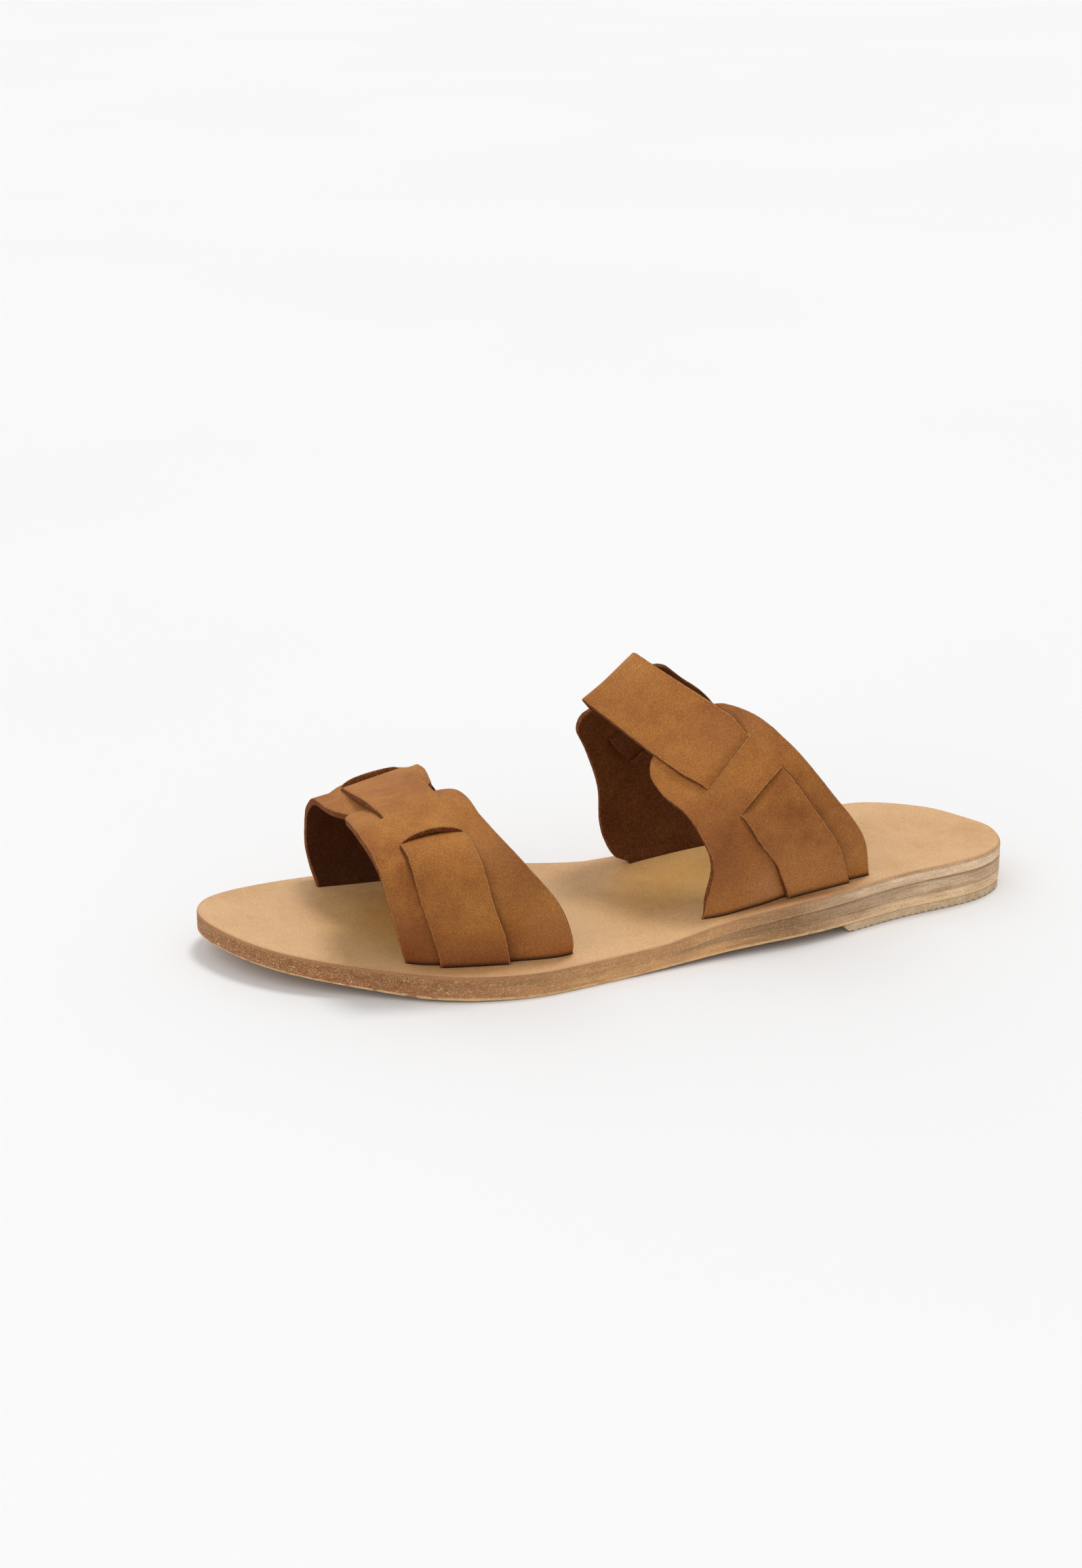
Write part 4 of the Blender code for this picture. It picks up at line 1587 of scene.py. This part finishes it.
@dataclass
class LinkStrap(Hide):
    """The strap of a band, woven through both panels from slot to slot.

    free_from and free_to say how far past each panel's upper slit it leaves the panel,
    and crest, if there is one, is the fold between: a front and a rear point.
    """

    outer: Panel
    inner: Panel
    free_from: float
    free_to: float
    crest: tuple[tuple[float, float, float], tuple[float, float, float]] | None = None
    fold_reach: float = 3.4     # how far from the crest the fold begins to round
    fold_rise: float = 0.42     # how far its round stands out, as a share of the corner's height
    fold_steps: tuple[int, int, int] = (24, 9, 12)  # up to it, round it and down from it
    pitch: float = 1.1
    rim: float = 0.5            # distance of its second column from the edge
    fray: float = 0.05
    waves: tuple[Wave, ...] = (Wave(0.14, 12.0, 4.0),)

    def __post_init__(self) -> None:
        """Lay out the strap's two edges, station by station."""
        self.footing = self.outer.footing
        self.pairs = self._on(self.outer, self.free_from)
        arrival = self._on(self.inner, self.free_to)[::-1]
        self.pairs += self._free(arrival) + arrival
        self.length = float(len(self.pairs) - 1)

    def _on(self, panel: Panel, past: float) -> list[tuple[Vector, Vector]]:
        """Edge pairs of the outer face where the strap lies on a panel.

        Args:
            panel: The panel.
            past: How far past its upper slit they go.

        Returns:
            The pairs, from the slot up.
        """
        end = panel.run_of["upper slit"] + past
        runs = [-panel.root] + spaced(0.0, end, self.pitch)
        pairs = []
        for run in runs:
            lift = panel.strap_lift(run) if run > 0.0 else panel.wall - panel.sink
            pairs.append(tuple(panel.plain(run, share) + panel.outward(run, share) * lift
                               for share in panel.strap_shares(run)))
        return pairs

    def _free(self, arrival: list[tuple[Vector, Vector]]) -> list[tuple[Vector, Vector]]:
        """Edge pairs between the two panels, in a smooth arc or over the fold.

        Args:
            arrival: Edge pairs on the inner panel.

        Returns:
            The pairs between.
        """
        edges = []
        for side in (0, 1):
            start, end = self.pairs[-1][side], arrival[0][side]
            straight = (end - start).normalized()
            leaving = ((start - self.pairs[-4][side]).normalized() + straight).normalized()
            coming = ((arrival[3][side] - end).normalized() + straight).normalized()
            if self.crest is None:
                span = (end - start).length
                edges.append([cubic(start, leaving, end, coming, span, k)
                              for k in spaced(0.0, 1.0, self.pitch / span)[1:-1]])
            else:
                top = self.footing.over_footbed(*self.crest[side])
                edges.append(self._fold(start, top, end, leaving, coming))
        return list(zip(*edges))

    def _fold(self, start: Vector, top: Vector, end: Vector, leaving: Vector,
              coming: Vector) -> list[Vector]:
        """One edge over the fold: nearly straight, tightly rounded, nearly straight again.

        Args:
            start: Where the edge leaves the outer panel.
            top: Corner of the fold.
            end: Where it meets the inner panel.
            leaving: Direction at the start.
            coming: Direction at the end.

        Returns:
            The points of the edge.
        """
        up, down = top - start, end - top
        before = start + up * (1.0 - self.fold_reach / up.length)
        after = top + down * (self.fold_reach / down.length)
        rising, falling = up.normalized(), down.normalized()
        climb, bend, drop = self.fold_steps
        first = [cubic(start, (leaving + rising).normalized(), before, rising,
                       (before - start).length, n / climb) for n in range(1, climb + 1)]
        peak = top + (top - (before + after) / 2) * self.fold_rise
        turn = [before.lerp(peak, k).lerp(peak.lerp(after, k), k)
                for k in [n / bend for n in range(1, bend)]]
        last = [cubic(after, falling, end, (coming + falling).normalized(),
                      (end - after).length, n / drop) for n in range(drop)]
        return first + turn + last

    def surface(self, station: float, share: float) -> Vector:
        """Point on the outer face.

        Args:
            station: Place along the strap, in edge pairs.
            share: Its share of the width.

        Returns:
            The point.
        """
        cell = min(max(int(station), 0), len(self.pairs) - 2)
        ends = [front.lerp(rear, share) for front, rear in self.pairs[cell:cell + 2]]
        return ends[0].lerp(ends[1], station - cell)

    def shape(self) -> bmesh.types.BMesh:
        """Build the strap.

        Returns:
            The closed strap with its marks and face numbers.
        """
        wide = max((front - rear).length for front, rear in self.pairs)
        rim = [0.0, self.rim / wide, 1.0 - self.rim / wide, 1.0]
        columns = merged(rim + spaced(0.0, 1.0, self.pitch / wide), 0.25 / wide)
        return self.shaped(columns, [float(k) for k in range(len(self.pairs))])

    def width(self, run: float) -> float:
        """Distance from the front edge to the rear edge."""
        front, rear = self.pairs[min(max(int(run), 0), len(self.pairs) - 1)]
        return (front - rear).length

    def bent(self, share: float, run: float, depth: float,
             push: tuple[float, float] = (0.0, 0.0)) -> tuple[Vector, float]:
        """A hide point's place in the shared frame and its distance from the nearest cut.

        Args:
            share: Its share of the width.
            run: Station along the strap.
            depth: Millimetres into the wall.
            push: Millimetres that its cut edge stands out, across and along.

        Returns:
            The place and the distance.
        """
        face = self.surface(run, share + push[0] / self.width(run))
        along = self.surface(run + 1.0, share) - self.surface(run - 1.0, share)
        across = self.surface(run, 1.0) - self.surface(run, 0.0)
        out = across.cross(along).normalized()
        wave = waved(self.waves, face) - self.creased(run, share)
        held = ease(min(run, self.length - run) / self.stand)
        off = min(share, 1.0 - share) * across.length
        return face + out * (wave * held - depth), max(off, 0.0)


# ---------------------------------------------------------------- sub-assemblies

@dataclass
class Sole:
    """Outsole, rubber heel pad, leather wedge and slotted footbed."""

    footing: Footing
    bench: Bench
    pad_front: float = 68.0
    wedge_front: float = 129.0
    pad_inset: float = 0.2
    rib_pitch: float = 2.5
    rib_depth: float = 0.4
    pad_taper: tuple[float, float] = (4.0, 1.5)     # run and rise of the pad's front end
    slot_ease: float = 0.1      # clearance round a band's foot in its slot
    cut_past: float = 1.0       # how far a slot's cutter reaches below that foot
    cut_above: float = 2.0      # and above the footbed
    cut_columns: int = 24       # columns of that cutter
    pad_steps: int = 6          # cross-sections of the pad to a rib
    level_face: float = 0.8     # a face whose normal is this upright belongs to a flat
    footbed_rows: tuple[Row, ...] = (
        Row(False, 0.0, 1.4), Row(False, 0.0, 0.1), Row(False, 0.1, 0.02), Row(False, 1.3, 0.0, 0.05),
        Row(True, -0.95, 0.02, 0.03), Row(True, -0.5, 0.1, 0.02), Row(True, -0.22, 0.3),
        Row(True, -0.06, 0.62), Row(True, 0.0, 1.05), Row(True, 0.0, 1.8))
    outsole_rows: tuple[Row, ...] = (
        Row(False, 0.0, 2.2), Row(False, 0.0, 0.4, 0.08), Row(False, 0.15, 0.12, 0.12),
        Row(False, 0.5, 0.0, 0.12), Row(False, 1.2, 0.0, 0.1), Row(False, 2.0, 0.0, 0.07),
        Row(True, -0.9, 0.0, 0.04), Row(True, -0.1, 0.02), Row(True, 0.0, 0.1), Row(True, 0.0, 1.4))
    wedge_rows: tuple[Row, ...] = (
        Row(False, 0.0, 1.2), Row(False, 0.0, 0.1), Row(False, 0.1, 0.02, 0.03),
        Row(True, -0.1, 0.02, 0.03), Row(True, 0.0, 0.1), Row(True, 0.0, 1.2))
    pad_rows: tuple[Row, ...] = (
        Row(False, 0.0, 1.2), Row(False, 0.0, 0.25), Row(False, 0.2, 0.0), Row(True, -1.0, 0.0),
        Row(True, -0.08, 0.0), Row(True, 0.0, 0.08), Row(True, 0.0, 1.2))

    def rib_foot(self, along: float) -> float:
        """Height of the pad's ribbed underside, which rises at its front end.

        Args:
            along: Place along the sole, from the back of the heel.

        Returns:
            The height.
        """
        run, rise = self.pad_taper
        front = max(0.0, 1.0 - (self.pad_front - along) / run)
        ribs = self.rib_depth * (0.5 + 0.5 * math.cos(math.tau * along / self.rib_pitch)) ** 2
        return ribs + rise * front * front

    def build(self, panels: Sequence[Panel], straps: Sequence[LinkStrap]) -> None:
        """Build the four layers, the footbed with a slot for every foot of the bands.

        Args:
            panels: Panels of both bands.
            straps: Their link straps.
        """
        foot = self.footing
        outsole = SoleLayer(foot, foot.outsole_low, foot.outsole_top, self.outsole_rows)
        self._add(outsole, "outsole", "sole_leather",
                  SoleEdge(ragged=0.24), RawUnderside())
        pad = SoleLayer(foot, self.rib_foot, lambda along: foot.pad + foot.gap, self.pad_rows,
                        last=self.pad_front, pitch=self.rib_pitch / self.pad_steps,
                        edge_inset=self.pad_inset)
        self._add(pad, "heel_pad", "crepe_rubber", CrepeRubber(), CrepeRubber())
        wedge = SoleLayer(foot, foot.outsole_top, foot.footbed_bottom, self.wedge_rows,
                          last=self.wedge_front)
        self._add(wedge, "heel_wedge", "stacked_leather",
                  SoleEdge(waist=tint(178, 138, 98), arch=tint(134, 98, 66),
                           heel=tint(216, 184, 150), seam=0.5, fleck_share=0.6),
                  RawUnderside())
        footbed = SoleLayer(foot, foot.footbed_bottom, foot.footbed_top, self.footbed_rows)
        item = self._add(footbed, "footbed", "natural_leather",
                         SoleEdge(toe=tint(136, 80, 38), waist=tint(198, 146, 96), arch=tint(162, 120, 84),
                                  heel=tint(252, 220, 184), smooth=0.30, seam=0.6, fleck_share=0.8),
                         FootbedSkin())
        self._cut_slots(item, panels, straps)

    def _add(self, layer: SoleLayer, name: str, slot: str, rim: Any, flat: Any) -> bpy.types.Object:
        """Build one layer, its sides dressed in one finish and its flats in another.

        Args:
            layer: The layer.
            name: Name of its solid.
            slot: Material slot of the record.
            rim: Finish of its sides.
            flat: Finish of its flats.

        Returns:
            The piece.
        """
        work = layer.shape()
        for face in work.faces:
            face.normal_update()
            face.material_index = 1 if abs(face.normal.z) > self.level_face else 0
        return self.bench.piece(work, name + "_layer", name, slot,
                                [rim.material(name + "_rim"), flat.material(name + "_flat")])

    def _cut_slots(self, item: bpy.types.Object, panels: Sequence[Panel],
                   straps: Sequence[LinkStrap]) -> None:
        """Cut the bands' slots out of the footbed.

        Args:
            item: The footbed.
            panels: Panels of both bands.
            straps: Their link straps.
        """
        tools = []
        for panel in panels:
            tools.append(self._cutter(lambda share, run, depth, p=panel: p.bent(share, run, depth)[0],
                                      panel.width(0.0), panel.wall, panel.root))
        for strap in straps:
            for panel in (strap.outer, strap.inner):
                tools.append(self._strap_cutter(panel, strap))
        for tool in tools:
            step = item.modifiers.new(tool.name, 'BOOLEAN')
            step.operation = 'DIFFERENCE'
            step.solver = 'EXACT'
            step.object = tool
        graph = bpy.context.evaluated_depsgraph_get()
        cut = bpy.data.meshes.new_from_object(item.evaluated_get(graph))
        item.modifiers.clear()
        blank, item.data = item.data, cut
        bpy.data.meshes.remove(blank)
        cut.name = item.name
        cut.set_sharp_from_angle(angle=math.radians(self.bench.sharp_angle))
        for tool in tools:
            bpy.data.objects.remove(tool)

    def _strap_cutter(self, panel: Panel, strap: LinkStrap) -> bpy.types.Object:
        """Cutter for the strap's foot beside a panel's foot.

        Args:
            panel: The panel.
            strap: The strap.

        Returns:
            The cutter.
        """
        front, rear = panel.strap_shares(0.0)

        def spot(share: float, run: float, depth: float) -> Vector:
            """Point of the strap's foot.

            Args:
                share: Share of the strap's width.
                run: Run of the place.
                depth: Millimetres into the wall.

            Returns:
                The place in the shared frame.
            """
            side = between(front, rear, share)
            lift = panel.wall - panel.sink - depth
            return panel.plain(run, side) + panel.outward(max(run, 0.5), side) * lift

        return self._cutter(spot, (rear - front) * panel.width(0.0), strap.wall, panel.root)

    def _cutter(self, spot: Callable[[float, float, float], Vector], wide: float, wall: float,
                root: float) -> bpy.types.Object:
        """Thin block round a foot: x its share, y its run, z its depth, all eased outwards.

        Args:
            spot: Place of a share, a run and a depth.
            wide: Width of the foot.
            wall: Its wall.
            root: How deep it stands in the sole.

        Returns:
            The cutter.
        """
        runs = (-root - self.cut_past, 0.0, self.cut_above)
        work = bmesh.new()
        bmesh.ops.create_grid(work, x_segments=self.cut_columns, y_segments=len(runs) - 1, size=0.5)
        for vert in pulled_out(work, work.faces[:])[1]:
            vert.co.z = 1.0
        past = self.slot_ease / wide
        for vert in work.verts:
            share = between(-past, 1.0 + past, vert.co.x + 0.5)
            run = runs[round((vert.co.y + 0.5) * (len(runs) - 1))]
            vert.co = spot(share, run, between(-self.slot_ease, wall + self.slot_ease, vert.co.z))
        to_metres(work)
        return placed("slot_cutter", as_mesh(work, "slot_cutter"))


@dataclass
class Band:
    """One band: an outer panel, an inner panel and the link strap through both."""

    name: str
    outer: Panel
    inner: Panel
    strap: LinkStrap
    bench: Bench

    def build(self, looks: Sequence[bpy.types.Material]) -> None:
        """Build the band's three pieces.

        Args:
            looks: Materials of grain side, flesh side and cut edge.
        """
        for part, hide in (("outer_panel", self.outer), ("inner_panel", self.inner),
                           ("link_strap", self.strap)):
            self.bench.piece(hide.shape(), f"{self.name}_{part}", f"{self.name}_band",
                             "tan_leather", looks)


def front_band(footing: Footing, bench: Bench) -> Band:
    """The band over the toes.

    Args:
        footing: The sole that it stands in.
        bench: Where its pieces are finished.

    Returns:
        The band.
    """
    outer = Panel(footing, Hand.OUTER, (
        BandRow("slot", (208.2, 26.3, 0.0), (158.3, 34.9, 0.0), 0.195, 0.60),
        BandRow("low", (211.8, 29.5, 11.6), (160.1, 37.5, 8.2), 0.20, 0.62),
        BandRow("side", (215.4, 31.5, 24.9), (165.0, 38.5, 19.3), 0.19, 0.62),
        BandRow("shoulder", (217.0, 30.0, 32.0), (172.4, 34.5, 29.7), 0.21, 0.69),
        BandRow("lower slit", (217.9, 26.0, 35.9), (178.9, 22.0, 38.0), 0.24, 0.78),
        BandRow("upper slit", (219.0, 14.0, 38.8), (182.1, 4.0, 43.4), 0.26, 0.80),
        BandRow("flap end", (216.8, -6.0, 35.4), (185.3, -13.0, 38.4), 0.25, 0.85)),
        (Slit("lower slit", 2.5, 1.0, 0.5, 1.0), Slit("upper slit", 0.15, 0.0, 0.85, 1.0)),
        bow=(2.6, 2.6),
        creases=(Crease((44.8, 0.22), (36.0, 0.06), 3.0, 0.74),
                 Crease((45.6, 0.80), (51.0, 0.97), 3.4, 0.68),
                 Crease((61.0, 0.22), (68.0, 0.08), 2.6, 0.47),
                 Crease((53.0, 0.30), (54.0, 0.74), 4.0, 0.41),
                 Crease((8.0, 0.10), (38.0, 0.13), 4.5, -0.54),
                 Crease((7.0, 0.72), (26.0, 0.88), 7.0, 0.81),
                 Crease((4.0, 0.95), (30.0, 0.78), 6.0, -0.61)))
    inner = Panel(footing, Hand.INNER, (
        BandRow("slot", (216.0, -39.5, 0.0), (162.5, -40.5, 0.0), 0.19, 0.59),
        BandRow("low", (216.9, -43.5, 5.2), (164.5, -44.3, 7.3), 0.20, 0.60),
        BandRow("side", (217.7, -45.3, 12.4), (170.0, -45.7, 18.8), 0.20, 0.65),
        BandRow("lower slit", (217.5, -44.5, 23.1), (177.5, -44.5, 31.2), 0.23, 0.72),
        BandRow("shoulder", (217.1, -42.0, 27.1), (180.5, -40.5, 36.0), 0.23, 0.80),
        BandRow("upper slit", (216.7, -37.0, 29.9), (183.7, -33.0, 39.8), 0.265, 0.825),
        BandRow("flap", (215.9, -21.0, 31.8), (183.5, -27.0, 40.2), 0.23, 0.84),
        BandRow("flap end", (209.5, -5.0, 34.2), (186.2, -12.5, 40.8), 0.18, 0.84)),
        (Slit("lower slit", 0.3, 0.3, 0.4, 0.8), Slit("upper slit", 2.7, 1.3, 0.4, 1.0)),
        rear_corner=2.4,
        creases=(Crease((29.7, 0.20), (24.0, 0.07), 3.0, 0.68),
                 Crease((29.7, 0.75), (25.0, 0.92), 3.0, 0.61),
                 Crease((42.8, 0.24), (47.0, 0.08), 2.6, 0.61),
                 Crease((36.0, 0.30), (36.5, 0.72), 3.4, 0.47),
                 Crease((6.0, 0.12), (24.0, 0.14), 5.0, -0.54),
                 Crease((5.0, 0.75), (20.0, 0.90), 7.0, 0.68)))
    strap = LinkStrap(outer, inner, 2.2, 5.0, creases=(
        Crease((10.0, 0.25), (30.0, 0.40), 7.0, 0.47), Crease((38.0, 0.15), (38.5, 0.85), 3.2, -0.34),
        Crease((66.0, 0.10), (84.0, 0.55), 5.0, 0.41)))
    return Band("front", outer, inner, strap, bench)


def instep_band(footing: Footing, bench: Bench) -> Band:
    """The band over the instep, its strap folded where it meets the foot's inner side.

    Args:
        footing: The sole that it stands in.
        bench: Where its pieces are finished.

    Returns:
        The band.
    """
    outer = Panel(footing, Hand.OUTER, (
        BandRow("slot", (115.5, 31.9, 0.0), (56.0, 26.5, 0.0), 0.47, 0.855),
        BandRow("low", (113.4, 32.5, 8.5), (60.4, 29.5, 15.0), 0.42, 0.825),
        BandRow("waist", (112.4, 33.5, 15.0), (73.1, 31.0, 32.3), 0.36, 0.82),
        BandRow("lower slit", (113.8, 33.0, 21.4), (82.4, 26.5, 45.0), 0.35, 0.83),
        BandRow("upper slit", (117.8, 25.2, 31.8), (89.9, 17.1, 53.4), 0.26, 0.82),
        BandRow("flap", (122.0, 15.2, 36.6), (94.2, 9.2, 55.6), 0.22, 0.89),
        BandRow("flap end", (124.5, 5.5, 43.2), (101.4, 1.9, 57.4), 0.20, 0.94)),
        (Slit("lower slit", 0.3, 0.45, 0.15, 1.1), Slit("upper slit", 0.4, 0.3, 0.5, 0.6)),
        bow=(3.0, 0.6),
        creases=(Crease((37.0, 0.32), (30.0, 0.16), 3.0, 0.81),
                 Crease((37.4, 0.86), (42.0, 0.97), 2.6, 0.54),
                 Crease((51.0, 0.23), (46.0, 0.09), 2.8, 0.68),
                 Crease((51.4, 0.85), (46.0, 0.93), 2.4, -0.47),
                 Crease((44.0, 0.32), (45.0, 0.76), 4.6, 0.47),
                 Crease((6.0, 0.30), (24.0, 0.18), 8.0, 0.94),
                 Crease((4.0, 0.38), (14.0, 0.33), 3.4, -0.68)),
        rubbed=(Crease((4.0, 0.40), (8.0, 0.34), 3.6, 1.0),))
    inner = Panel(footing, Hand.INNER, (
        BandRow("slot", (118.0, -20.4, 0.0), (60.5, -17.5, 0.0), 0.50, 0.89),
        BandRow("hem", (121.6, -22.6, 1.9), (62.2, -19.4, 3.8), 0.49, 0.88),
        BandRow("low", (124.0, -25.6, 6.8), (65.5, -23.5, 11.5), 0.46, 0.85),
        BandRow("waist", (125.3, -27.5, 13.5), (73.5, -28.5, 24.7), 0.39, 0.80),
        BandRow("lower slit", (125.0, -30.0, 24.4), (87.5, -30.0, 45.6), 0.28, 0.72),
        BandRow("upper slit", (129.5, -29.0, 38.1), (98.0, -27.5, 55.2), 0.21, 0.72),
        BandRow("flap end", (135.6, -27.0, 50.0), (107.5, -25.0, 64.2), 0.26, 0.74)),
        (Slit("lower slit", 0.3, 0.2, 0.3, 0.9), Slit("upper slit", 0.4, 0.3, 0.5, 0.6)),
        creases=(Crease((40.3, 0.25), (33.0, 0.10), 3.0, 0.74),
                 Crease((40.3, 0.75), (35.0, 0.91), 3.0, 0.68),
                 Crease((54.2, 0.18), (58.0, 0.06), 2.6, 0.54),
                 Crease((47.0, 0.28), (47.5, 0.68), 4.4, 0.47),
                 Crease((5.0, 0.30), (22.0, 0.20), 8.0, 0.81)))
    strap = LinkStrap(outer, inner, 9.0, 6.0, crest=((135.3, -19.1, 59.9), (117.2, -21.0, 70.3)),
                      creases=(Crease((8.0, 0.30), (28.0, 0.55), 7.0, 0.54),
                               Crease((48.0, 0.20), (50.0, 0.80), 5.0, 0.47),
                               Crease((68.0, 0.80), (86.0, 0.35), 7.0, 0.47)))
    return Band("instep", outer, inner, strap, bench)


# ---------------------------------------------------------------- studio

class Lamp(NamedTuple):
    """A soft light from far off: its bearing from +X, its height, its spread and its power."""

    name: str
    bearing: float
    height: float
    spread: float
    power: float


@dataclass
class Studio:
    """Pale floor, soft light and the camera."""

    camera_at: Vector = field(default_factory=lambda: Vector((713.22, -296.59, 332.16)))
    looking_at: Vector = field(default_factory=lambda: Vector((-118.97, 19.8, 0.7)))
    lens: float = 61.42
    sensor: float = 36.0
    floor_half: float = 30.0        # metres
    floor_tone: float = 0.85
    haze_width: float = 400.0       # its tone drifts this slowly, in millimetres
    haze: float = 0.004             # and this little
    clip: tuple[float, float] = (0.05, 100.0)       # nearest and farthest seen, in metres
    sky: float = 0.58
    lamps: tuple[Lamp, ...] = (Lamp("key", 119.0, 75.0, 16.0, 1.07),
                               Lamp("toe_fill", -66.0, 30.0, 75.0, 0.85),
                               Lamp("back_fill", 204.0, 30.0, 75.0, 0.47))

    def build(self) -> None:
        """Lay the floor, light it and set the camera."""
        self._floor()
        self._light()
        self._camera()

    def _floor(self) -> None:
        """Wide pale floor just under the sole."""
        work = bmesh.new()
        bmesh.ops.create_grid(work, x_segments=1, y_segments=1, size=self.floor_half)
        mesh = as_mesh(work, "floor")
        item = placed("floor", mesh)
        desk = Desk("pale_floor")
        haze = desk.grain(self.haze_width, 2.0, 0.5)
        low, high = self.floor_tone - self.haze, self.floor_tone + self.haze
        tone = desk.ramp(haze, (0.4, (low,) * 3), (0.6, (high,) * 3))
        mesh.materials.append(desk.dress(Base_Color=tone, Roughness=0.9, Specular_IOR_Level=0.1))

    def _light(self) -> None:
        """Even sky, a key light from above and two soft fills."""
        world = bpy.data.worlds.new("studio")
        world.use_nodes = True
        background = world.node_tree.nodes["Background"]
        background.inputs["Color"].default_value = (1.0, 1.0, 1.0, 1.0)
        background.inputs["Strength"].default_value = self.sky
        bpy.context.scene.world = world
        for lamp in self.lamps:
            data = bpy.data.lights.new(lamp.name, 'SUN')
            data.energy = lamp.power
            data.angle = math.radians(lamp.spread)
            item = placed(lamp.name, data)
            item.rotation_euler = (0.0, math.radians(90.0 - lamp.height), math.radians(lamp.bearing))
        bpy.context.scene.view_settings.view_transform = 'Standard'

    def _camera(self) -> None:
        """Camera at the outer side, in front of the toes and above them."""
        data = bpy.data.cameras.new("camera")
        data.lens, data.sensor_width = self.lens, self.sensor
        data.clip_start, data.clip_end = self.clip
        item = placed("camera", data)
        item.rotation_mode = 'QUATERNION'
        item.location = self.camera_at * MM
        item.rotation_quaternion = (self.looking_at - self.camera_at).to_track_quat('-Z', 'Y')
        bpy.context.scene.camera = item


def main() -> None:
    """Build the studio and the sandal, piece by piece."""
    logging.basicConfig(level=logging.INFO, format="%(message)s")
    Studio().build()
    footing, bench = Footing(), Bench()
    bands = [front_band(footing, bench), instep_band(footing, bench)]
    Sole(footing, bench).build([panel for band in bands for panel in (band.outer, band.inner)],
                               [band.strap for band in bands])
    cut_edge = CutEdge().material("tan_cut_edge")
    for band, grain, flesh in zip(bands, (FRONT_GRAIN, INSTEP_GRAIN), (FRONT_FLESH, FleshSide())):
        band.build([grain.material(band.name + "_tan_grain"), flesh.material(band.name + "_flesh"),
                    cut_edge])


if __name__ == "__main__":
    main()
